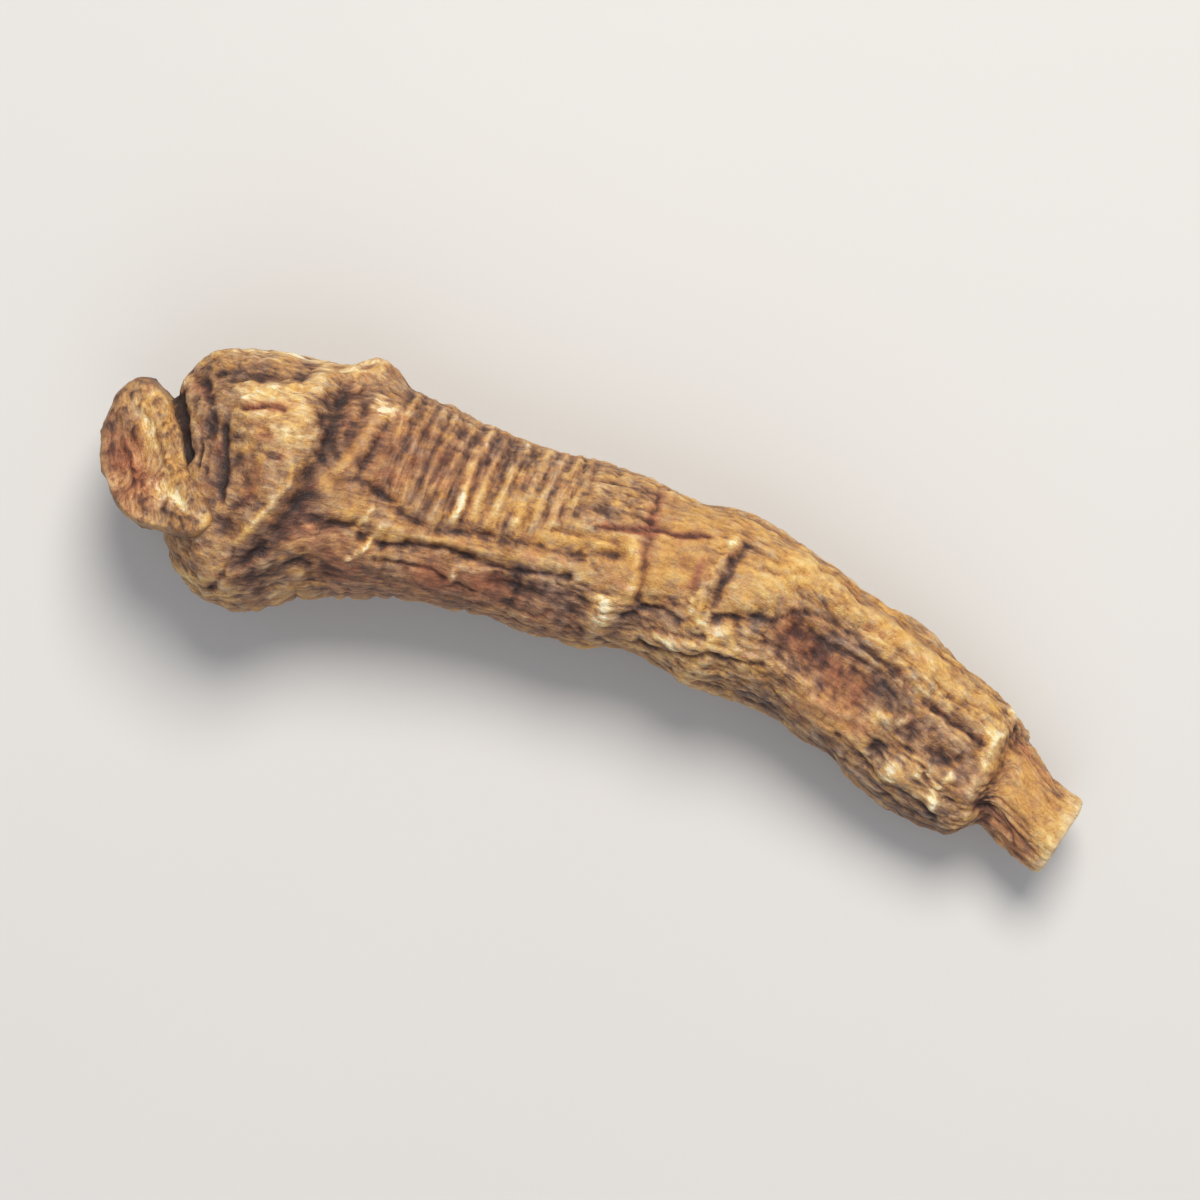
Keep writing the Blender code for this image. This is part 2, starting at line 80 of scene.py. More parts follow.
# Cross-sections from crown to tail, in mm. Each joins a point on the edge towards +Y to one
# on the edge towards -Y. Then come the height of its widest level over the surface, how far
# it rises above that level and how far it drops below it.
SECTIONS = (
    (-24.4, 6.2, -22.9, -1.9, 5.5, 2.7, 3.5),
    (-23.5, 7.5, -22.1, -3.2, 5.5, 3.8, 4.7),
    (-21.6, 8.4, -20.5, -4.5, 5.6, 4.8, 5.6),
    (-19.0, 9.0, -18.2, -4.7, 5.6, 5.7, 5.9),
    (-17.0, 9.3, -16.8, -4.4, 5.6, 5.7, 5.9),
    (-15.3, 9.5, -15.0, -3.1, 5.5, 5.3, 5.3),
    (-13.3, 9.5, -13.0, -2.2, 5.3, 4.9, 4.9),
    (-11.3, 9.4, -11.1, -1.5, 5.2, 4.8, 4.8),
    (-7.5, 9.1, -7.4, -0.6, 5.0, 4.7, 4.5),
    (-2.5, 9.5, -2.5, -0.3, 4.8, 4.6, 4.5),
    (0.2, 9.65, 0.0, 0.0, 4.7, 4.6, 4.5),
    (3.0, 9.6, 2.7, 0.5, 4.5, 4.7, 4.75),
    (5.6, 9.85, 5.0, 0.3, 4.5, 4.7, 4.8),
    (8.3, 9.5, 7.2, 0.5, 4.4, 4.5, 4.65),
    (11.0, 8.8, 9.2, 0.5, 4.2, 4.2, 4.1),
    (13.6, 8.0, 11.3, 0.1, 4.1, 3.9, 3.8),
    (16.2, 7.5, 13.6, -0.7, 3.9, 3.7, 3.5),
    (18.8, 6.5, 16.0, -1.4, 3.6, 3.5, 3.6),
    (21.0, 5.9, 18.2, -2.0, 3.4, 3.4, 3.7),
    (22.4, 5.3, 20.2, -2.2, 3.3, 3.2, 3.5),
    (23.2, 4.7, 21.7, -2.0, 3.3, 2.9, 3.0),
    (23.9, 4.1, 22.7, -1.0, 3.3, 2.5, 2.4),
    (25.0, 3.3, 23.9, -1.2, 3.4, 2.2, 2.1),
    (26.2, 2.7, 25.1, -1.8, 3.5, 2.1, 2.0),
    (27.3, 2.4, 26.4, -2.2, 3.5, 2.0, 2.0),
)
SECTION_SQUARENESS = 2.25

# The blunt crown end, and the cut face at the tail, worn round its rim.
CROWN_DOME_LENGTH = 1.1
CROWN_DOME_ROWS = 16
CUT_RIM_ROUNDING = 0.40
CUT_RIM_SCALE = 0.90
CUT_FACE_SCALES = (
    0.99, 0.965, 0.935, 0.90, 0.85, 0.80, 0.74, 0.68, 0.62, 0.55, 0.48, 0.41, 0.34, 0.27, 0.20,
    0.13, 0.06,
)
CUT_ROUGHNESS = 0.12

# Looks of the cut: its pale rim, the darker ring inside it and how far its skin comes over
# the rim. Places are shares of the way from the middle to the rim.
CUT_PALE_RIM = 0.25
CUT_PALE_START = (0.80, 0.95)
CUT_DARK_RING = 0.22
CUT_RING_PLACE = 0.72
CUT_RING_WIDTH = 0.07
CUT_RIM_SKIN = 0.6
# How strongly the cut's roughness is painted into its colour as painted shade.
CUT_PAINTED_SHADE_GAIN = 2.0

# Ridges (height above zero) and grooves (below) on the side that faces up:
# name, half-width, height, then the points that the line runs through, seen from above.
LINES = (
    ("rim valley", 0.70, -0.45, ((-22.8, 6.4), (-20.8, 7.0), (-18.6, 7.9))),
    ("shoulder ridge", 0.45, 0.36,
     ((-21.3, 5.9), (-19.2, 6.8), (-17.4, 8.1), (-16.4, 8.8), (-15.3, 9.5))),
    ("shoulder facet", 1.80, 0.45, ((-19.6, 4.9), (-18.0, 4.9))),
    ("facet edge", 0.42, 0.30, ((-17.2, 7.8), (-17.2, 6.2), (-17.5, 4.6))),
    ("waist hollow", 0.80, -0.60,
     ((-16.3, 7.6), (-15.9, 5.5), (-16.0, 3.5), (-16.0, 1.6), (-16.7, -0.4), (-17.5, -2.2))),
    ("diagonal ridge", 0.22, 0.34,
     ((-17.2, 3.3), (-17.0, 2.3), (-17.2, 1.3), (-17.7, 0.2), (-18.4, -1.4))),
    ("crown crease", 0.48, -0.55, ((-21.2, 3.7), (-20.8, 2.5), (-20.4, 1.3), (-20.2, 0.2))),
    ("crown furrow", 0.50, -0.45, ((-23.4, 5.8), (-22.4, 4.8), (-21.9, 3.4))),
    ("facet foot", 1.00, -0.45, ((-19.9, 2.6), (-19.0, 1.0), (-19.3, -0.6))),
    ("lower bulge", 1.60, 0.55, ((-20.0, -2.4), (-18.9, -3.2))),
    ("bulge side", 0.80, -0.50, ((-17.0, -3.0), (-15.6, -1.8), (-14.0, -1.2))),
    ("waist crease", 0.45, -0.40, ((-15.9, 1.1), (-14.5, 1.0), (-13.0, 1.4))),
    ("first fold", 0.42, 0.28, ((-13.9, 7.2), (-14.2, 5.2), (-14.9, 3.9))),
    ("fold valley", 0.50, -0.32, ((-14.8, 7.6), (-15.2, 6.2), (-15.0, 5.2))),
    ("second fold", 0.38, 0.22, ((-13.2, 4.2), (-13.4, 2.9), (-13.6, 1.7))),
    ("upper long groove", 0.34, -0.34,
     ((-13.2, 3.8), (-11.0, 2.9), (-9.0, 2.8), (-7.0, 3.4), (-4.5, 3.9), (-2.0, 4.3), (0.0, 5.0))),
    ("band between grooves", 0.55, 0.14, ((-12.5, 2.1), (-9.5, 2.4), (-6.5, 2.8), (-3.5, 3.3))),
    ("lower long groove", 0.32, -0.36,
     ((-13.0, 1.2), (-11.5, 1.1), (-10.0, 1.6), (-8.5, 2.0), (-6.0, 2.1), (-4.0, 2.5), (-2.0, 3.1))),
    ("flank hollow", 1.10, -0.45, ((-5.0, 1.4), (-3.0, 1.2), (-1.2, 1.4))),
    ("body ring groove", 0.22, -0.18,
     ((0.7, 9.2), (1.1, 8.1), (0.95, 7.3), (1.35, 6.4), (1.25, 5.6), (1.7, 4.7), (1.95, 3.2),
      (1.5, 2.2))),
    ("body ring edge", 0.42, 0.22, ((0.6, 6.0), (1.1, 5.2), (1.4, 3.8), (0.9, 2.8), (0.4, 1.8))),
    ("body swell", 1.60, 0.35, ((2.5, 5.5), (3.5, 6.8))),
    ("scar ridge", 0.36, 0.34,
     ((5.5, 8.0), (5.3, 6.6), (5.0, 5.4), (4.8, 4.4), (5.2, 3.4))),
    ("scar groove", 0.24, -0.22, ((6.15, 8.0), (5.85, 7.1), (5.9, 6.2), (5.6, 5.4), (5.75, 4.6))),
    ("knuckle", 0.42, 0.34, ((6.3, 2.8), (6.8, 3.4))),
    ("edge knuckle", 0.60, 0.40, ((5.5, 0.5), (6.2, 1.3))),
    ("second swell", 1.50, 0.40, ((7.5, 6.3), (8.5, 7.0))),
    ("tail crest", 0.90, 0.55, ((9.0, 8.0), (12.0, 7.3), (15.0, 6.5), (18.0, 5.6), (21.0, 4.8))),
    ("crest groove", 0.32, -0.42,
     ((6.0, 3.9), (7.5, 4.4), (8.8, 4.8), (9.6, 5.6), (11.2, 6.1), (13.0, 5.8), (14.6, 5.1),
      (16.0, 4.7), (17.5, 4.0), (19.7, 3.4), (21.3, 3.0))),
    ("tail hollow", 1.40, -0.55, ((10.5, 4.6), (13.0, 3.9), (15.5, 3.3), (17.5, 2.4))),
    ("flank ridge", 0.60, 0.34, ((3.2, 1.7), (5.0, 2.0), (7.5, 2.6), (10.5, 2.4), (13.5, 1.6))),
    ("first tail knob", 0.50, 0.30, ((15.8, 2.2), (17.0, 2.4))),
    ("second tail knob", 0.60, 0.40, ((17.2, -0.4), (18.3, 0.1))),
    ("third tail knob", 0.30, 0.34, ((20.4, 0.6), (19.9, -0.3), (20.2, -1.0))),
    ("tail valley", 0.60, -0.40, ((16.3, 0.7), (18.0, 1.3), (20.5, 1.6))),
    ("collar", 0.50, 0.30, ((22.2, 4.4), (21.8, 3.0), (21.9, 1.8), (21.6, 0.2))),
    ("collar step", 0.55, -0.35, ((23.2, 4.0), (23.0, 3.2), (22.8, 1.5), (22.6, 0.0))),
)

# Narrower lines that only the fine mesh can carry, in the same form.
FINE_LINES = (
    ("knob gap", 0.42, -0.60, ((-25.0, 5.1), (-24.1, 4.1), (-23.4, 2.9), (-22.8, 1.8))),
    ("facet slit", 0.16, -0.22, ((-20.6, 5.1), (-19.7, 5.5), (-18.6, 5.7))),
    ("facet pit", 0.20, -0.18, ((-19.2, 4.1), (-18.8, 4.2))),
    ("facet underline", 0.20, -0.25, ((-20.6, 3.7), (-19.4, 3.3), (-18.0, 3.3))),
    ("facet drop", 0.20, -0.22, ((-18.9, 2.9), (-18.4, 1.6), (-18.8, 0.4))),
    ("bulge top", 0.20, -0.30, ((-20.3, -0.9), (-19.4, -1.1), (-18.7, -1.0))),
    ("bulge rim", 0.30, 0.22, ((-21.0, -3.9), (-19.6, -4.3), (-18.2, -4.2))),
    ("bulge edge", 0.18, -0.26, ((-18.4, -1.8), (-18.6, -3.0), (-19.0, -4.0))),
    ("bulge fold", 0.22, -0.30, ((-17.9, -3.3), (-16.8, -2.7), (-15.6, -2.8))),
    ("waist edge", 0.20, -0.28, ((-16.8, 8.2), (-16.7, 6.8), (-16.8, 5.4))),
    ("waist slit", 0.18, -0.26, ((-15.4, 8.6), (-15.6, 7.4), (-15.1, 6.4))),
    ("waist cross slit", 0.16, -0.22, ((-16.0, 5.7), (-14.9, 6.0))),
    ("crown wrinkle a", 0.18, -0.25, ((-24.2, 6.0), (-23.0, 5.6), (-21.8, 5.8))),
    ("crown wrinkle b", 0.18, -0.28, ((-23.6, 4.6), (-22.9, 4.0), (-22.2, 2.8), (-21.9, 1.6))),
    ("crown wrinkle c", 0.16, 0.20, ((-23.1, 5.0), (-22.4, 4.2), (-21.9, 3.6))),
    ("crown wrinkle d", 0.18, -0.25, ((-22.2, 3.9), (-21.6, 2.6), (-21.2, 1.2))),
    ("white chip", 0.30, 0.20, ((-14.0, 8.0), (-13.4, 7.65))),
    ("fold slit", 0.15, -0.24, ((-14.5, 7.0), (-14.8, 5.4), (-15.3, 4.2))),
    ("second slit", 0.15, -0.12, ((-13.5, 7.3), (-13.7, 5.4), (-14.0, 3.7))),
    ("pale scratch", 0.14, 0.20, ((-12.5, 2.8), (-12.7, 2.0), (-13.0, 1.3))),
    ("low pale scratch", 0.14, 0.20, ((-11.95, 1.9), (-12.3, 0.5), (-12.9, -0.3))),
    ("ring chip", 0.20, 0.16, ((-8.5, 5.3), (-8.4, 4.1))),
    ("flank chip", 0.16, 0.12, ((-7.5, 1.3), (-7.6, 0.7))),
    ("band line", 0.14, -0.16, ((-12.0, 2.4), (-9.6, 2.5), (-7.0, 2.9), (-5.0, 3.3))),
    ("flank line", 0.16, -0.22, ((-11.6, 0.3), (-9.0, 0.8), (-6.5, 0.5), (-4.6, 0.7))),
    ("flank cross", 0.15, -0.22, ((-4.2, 2.6), (-4.4, 1.4), (-4.0, 0.4))),
    ("flank arch", 0.18, -0.26, ((-2.6, 2.6), (-1.2, 2.4), (-0.5, 1.6), (-0.9, 0.6))),
    ("body chip", 0.30, 0.16, ((0.2, 2.7), (0.6, 1.6))),
    ("long slit one", 0.15, -0.24, ((-1.6, 6.0), (0.0, 6.6), (1.4, 6.9))),
    ("long slit two", 0.15, -0.22, ((0.6, 6.9), (2.4, 7.1), (4.2, 7.7))),
    ("long slit three", 0.15, -0.20, ((-3.6, 5.0), (-1.8, 5.4), (-0.2, 5.6))),
    ("arch groove", 0.20, -0.30, ((1.4, 2.1), (2.2, 3.0), (3.2, 3.3), (4.2, 3.0))),
    ("low slit one", 0.16, -0.26, ((2.6, 1.2), (4.6, 1.4), (6.4, 2.0), (9.0, 2.6))),
    ("low slit two", 0.14, -0.20, ((3.0, 2.2), (4.8, 2.4), (5.8, 2.7))),
    ("swell slit", 0.16, -0.13, ((7.0, 7.0), (8.2, 7.1), (9.4, 7.6))),
    ("swell under", 0.16, -0.10, ((6.6, 5.6), (7.8, 5.7), (8.8, 6.1))),
    ("crest slit one", 0.14, -0.13, ((10.0, 8.3), (13.0, 7.4), (16.0, 6.8), (19.0, 5.9))),
    ("crest slit two", 0.14, -0.12, ((12.0, 6.8), (14.5, 6.2), (17.5, 5.0), (20.5, 4.2))),
    ("hollow slit one", 0.18, -0.28, ((11.6, 4.6), (12.0, 3.9), (11.4, 3.2))),
    ("hollow slit two", 0.18, -0.30, ((12.2, 5.2), (13.2, 4.6), (14.8, 4.4), (16.2, 3.6))),
    ("hollow slit three", 0.18, -0.26, ((9.2, 3.6), (10.6, 3.0), (12.4, 2.6), (14.8, 2.5))),
    ("hollow slit four", 0.18, -0.30, ((16.4, 1.4), (16.9, 0.6), (16.2, 0.1))),
    ("knob slit", 0.16, -0.26, ((17.4, 0.8), (18.6, 0.8), (19.4, 0.1))),
    ("low tail slit", 0.16, -0.22, ((14.0, 0.6), (16.0, -0.2), (18.0, -1.0), (20.5, -1.5))),
    ("collar bump one", 0.28, 0.26, ((22.2, 4.9), (22.6, 4.7))),
    ("collar bump two", 0.26, 0.28, ((21.4, 4.1), (22.1, 3.7))),
    ("collar bump three", 0.26, 0.26, ((21.9, 2.2), (22.1, 2.0))),
    ("collar slit", 0.16, -0.30, ((22.9, 4.7), (22.6, 3.6), (22.6, 2.2), (22.3, 0.8))),
)
LINE_WANDER = 0.15
LINE_PROFILE = 1.5

# Shares of the two noises that make the lines uneven, then how a line's strength and its
# spread vary with them: middle, swing, least and most.
UNEVENNESS = (0.7, 0.45)
LINE_STRENGTH = (0.95, 0.45, 0.35, 1.35)
LINE_SPREAD = (1.0, 0.35, 0.7, 1.3)

# Rings pressed into the neck: place along X and height of each raised ring.
RINGS = (
    (-12.7, 0.18), (-11.85, 0.11), (-11.15, 0.10), (-10.4, 0.14), (-9.55, 0.11), (-8.5, 0.22),
    (-7.6, 0.17), (-6.5, 0.20), (-5.35, 0.18), (-4.5, 0.13), (-3.75, 0.14), (-3.0, 0.10),
)
RING_HALF_WIDTH = 0.27
RING_WOBBLE = 0.22
RING_LOW_SIDE_DEGREES = (205.0, 250.0)
RING_SHARE_BEHIND = 0.50
RING_PATCHES = (0.9, 0.7, 0.2, 1.5)
RING_ZONE_EASE = 0.8
RING_ZONE_DROP = 0.10
RING_TOP_RANGE = (0.0, 0.5)
RING_GROOVE_EASE = (0.1, 0.9)

# Stumps of side rootlets and other lumps: place along X, angle round the body in degrees
# (0 towards +Y, 90 up, 180 towards -Y, 270 down), half-width and height.
LUMPS = (
    ("bump over the waist", -14.95, 15.0, 1.00, 0.66),
    ("bump's far shoulder", -14.0, 13.0, 0.80, 0.42),
    ("crown corner", -22.6, 30.0, 1.50, 0.35),
    ("rear rootlet stump", -1.5, -32.0, 0.90, 0.75),
    ("rear knob", 12.5, -40.0, 1.10, 0.55),
    ("front rootlet stump", 9.5, 214.0, 1.05, 0.45),
    ("front shoulder knob", -18.5, 205.0, 1.70, 0.60),
    ("belly rootlet stump", -8.5, 252.0, 0.80, 0.35),
    ("rear shoulder fold", -19.5, -30.0, 1.80, 0.55),
)

# Seeded wrinkles: longest wave along the body and round it, depth on the side that faces
# up and depth on the sides and the belly.
NOISE_RADIUS = 4.7
SWELLS = (6.0, 4.2, 0.16, 0.42)
LONG_WRINKLES = (8.5, 1.9, 0.14, 0.34)
CROSS_WRINKLES = (1.25, 5.0, 0.08, 0.17)
WRINKLE_SHARPNESS = 0.20
WRINKLE_PATCHES = (0.55, 1.1, 0.1, 1.1)
WRINKLE_BEND = 0.35
LAYER_BEND = 0.6

# Finer seeded wrinkles of the same form, which only the fine mesh can carry.
SKIN_FOLDS = (1.7, 1.3, 0.10, 0.13)
SKIN_CREASES = (0.85, 0.70, 0.055, 0.065)
FINE_LONG_WRINKLES = (3.2, 0.62, 0.085, 0.11)
FINE_RINGS = (0.46, 2.6, 0.070, 0.060)
TAIL_FIBRES = (5.0, 0.36, 0.080, 0.080)
SKIN_GRAIN = (0.34, 0.30, 0.022, 0.022)
FINE_PATCHES = (0.55, 0.75, 0.15, 1.3)
FINE_BENDS = (0.5, 0.3)

# Places along X between which one kind of skin passes into the next.
SHOULDER_END = (-15.0, -12.5)
FINE_NECK_SPAN = (-13.5, -12.5, -3.5, -1.5)
BODY_START = (-6.0, 2.0)
FINE_BODY_START = (-5.0, 0.0)
FIBRE_START = (8.0, 14.0)
STUB_START = (21.5, 23.5)
FINE_STUB_START = (22.3, 23.2)

# Where the side turns into the top, as the sine of the angle round the body: for the depth
# of the wrinkles, and for all that is laid out as seen from above.
WRINKLE_TOP_RANGE = (-0.2, 0.5)
FACING_UP_RANGE = (-0.15, 0.25)

# How much of the wrinkles the taut golden skin loses, how much of the mottling is lost there
# and on red patches, and how much of it where the skin faces sideways or down.
CALMING = 0.65
CALM_MOTTLING = 0.55
HIDDEN_CALM_MOTTLING = 0.50
CALM_RANGE = (0.1, 0.8)
RED_CALM_SHARE = 0.6

# What the relief and the fine skin keep at the crown's pole, how far along that ends, and
# how much of the fine skin is lost over a short way before the cut.
POLE_RELIEF = 0.25
POLE_SKIN = 0.4
POLE_END = 0.6
CUT_CALM_LENGTH = 0.9
CUT_CALMING = 0.7

# Folds across the blunt crown end: depth, reach from the end and the share lost on top.
CROWN_FOLD_DEPTH = 0.16
CROWN_FOLD_REACH = 2.4
CROWN_FOLD_TOP_LOSS = 0.6

# Seeded noises by use: their width in mm, along each axis where that differs, and the step
# from SEED to their own seed.
NOISES = {
    "ring wobble": ((2.5, 3.0, 3.0), 1),
    "wrinkle bend": (2.6, 2),
    "wrinkle patches": (3.6, 6),
    "knob": (1.6, 9),
    "wander x": (1.1, 20),
    "wander x fine": (0.45, 21),
    "wander y": (1.1, 22),
    "wander y fine": (0.45, 23),
    "uneven": (1.4, 24),
    "uneven fine": (0.6, 25),
    "ring patches": ((1.6, 1.3, 1.3), 26),
    "ring wobble fine": ((1.2, 0.9, 0.9), 27),
    "fine bend": (1.9, 30),
    "finer bend": (0.8, 31),
    "fine patches": (3.4, 32),
    "cut": (0.8, 40),
    "cut creases": (0.35, 41),
    "knob folds": ((0.9, 0.9, 1.6), 50),
    "knob creases": (0.5, 51),
    "knob grain": (0.34, 52),
    "crown folds": ((1.3, 2.4, 1.1), 60),
}

# Seeds of the first of the wrinkles and the first of the finer wrinkles, as steps from SEED.
WRINKLE_SEED_STEP = 3
FINE_SEED_STEP = 33

# The rhizome knob: its rim seen from above, the slope of that rim, the hollow of the stem
# scar in it, and the stalk that joins it to the crown.
KNOB_RIM = (
    (-27.4, 3.0), (-27.2, 1.0), (-26.3, -0.6), (-25.0, -1.8), (-23.7, -2.3), (-22.3, -2.1),
    (-20.9, -1.8), (-20.2, -1.0), (-21.0, 0.0), (-22.5, 1.2), (-23.6, 2.9), (-25.2, 4.4),
    (-26.8, 4.5),
)
KNOB_CENTRE = (-24.1, 0.9, 8.7)
KNOB_RIM_SLOPE = (0.38, -0.30)
SCAR_CENTRE = (-25.2, 0.6)
SCAR_HALF_WIDTH = 1.55
SCAR_DEPTH = 1.15
KNOB_LIP_HEIGHT = 0.35
KNOB_FACE_SCALES = (0.22, 0.44, 0.62, 0.78, 0.90, 1.0)
KNOB_WALL = (
    (0.5, 0.0, 1.05), (1.5, 0.02, 1.05), (2.6, 0.08, 1.0), (3.6, 0.25, 0.9), (4.2, 0.55, 0.78),
    (4.5, 1.0, 0.66),
)
KNOB_FOOT = (-21.2, 2.2, 5.6)
KNOB_ROUGHNESS = 0.22
KNOB_GRAIN_DEGREES = -60.0
KNOB_NORMAL_TURNS = 8
KNOB_FOOT_DROP = 0.4

# Depths of the folds on the knob's face and wall and of its creases. The places are shares
# of the way from the scar to the foot: where the face ends, how far below the rim the folds
# are calmest and how wide that is, and the smooth middle of the scar.
KNOB_FACE_FOLD = 0.09
KNOB_WALL_FOLD = 0.14
KNOB_CREASE = 0.03
KNOB_FACE_END = (0.40, 0.50)
KNOB_RIM_CALMING = 0.8
KNOB_CALM_OFFSET = 0.08
KNOB_CALM_WIDTH = 0.13
KNOB_SMOOTH_MIDDLE = 0.12

# Lines on the knob, seen from above, in the same form as the body's.
KNOB_LINES = (
    ("inner lip", 0.34, 0.16,
     ((-26.4, 3.4), (-25.4, 2.6), (-24.5, 1.5), (-23.8, 0.4), (-23.1, -0.6))),
    ("lip groove", 0.20, -0.12, ((-25.3, 3.2), (-24.3, 2.0), (-23.5, 1.0))),
    ("pale fleck", 0.26, 0.22, ((-23.4, -0.1), (-22.4, -0.4), (-21.6, -0.8))),
    ("scar split", 0.14, -0.22, ((-26.5, 1.8), (-25.4, 0.6), (-24.5, -0.7))),
    ("scar side split", 0.14, -0.20, ((-25.8, 2.2), (-24.8, 1.0), (-24.2, -0.2), (-23.9, -1.4))),
    ("tip slit", 0.14, -0.20, ((-22.6, -1.3), (-21.6, -1.3), (-20.9, -1.2))),
)
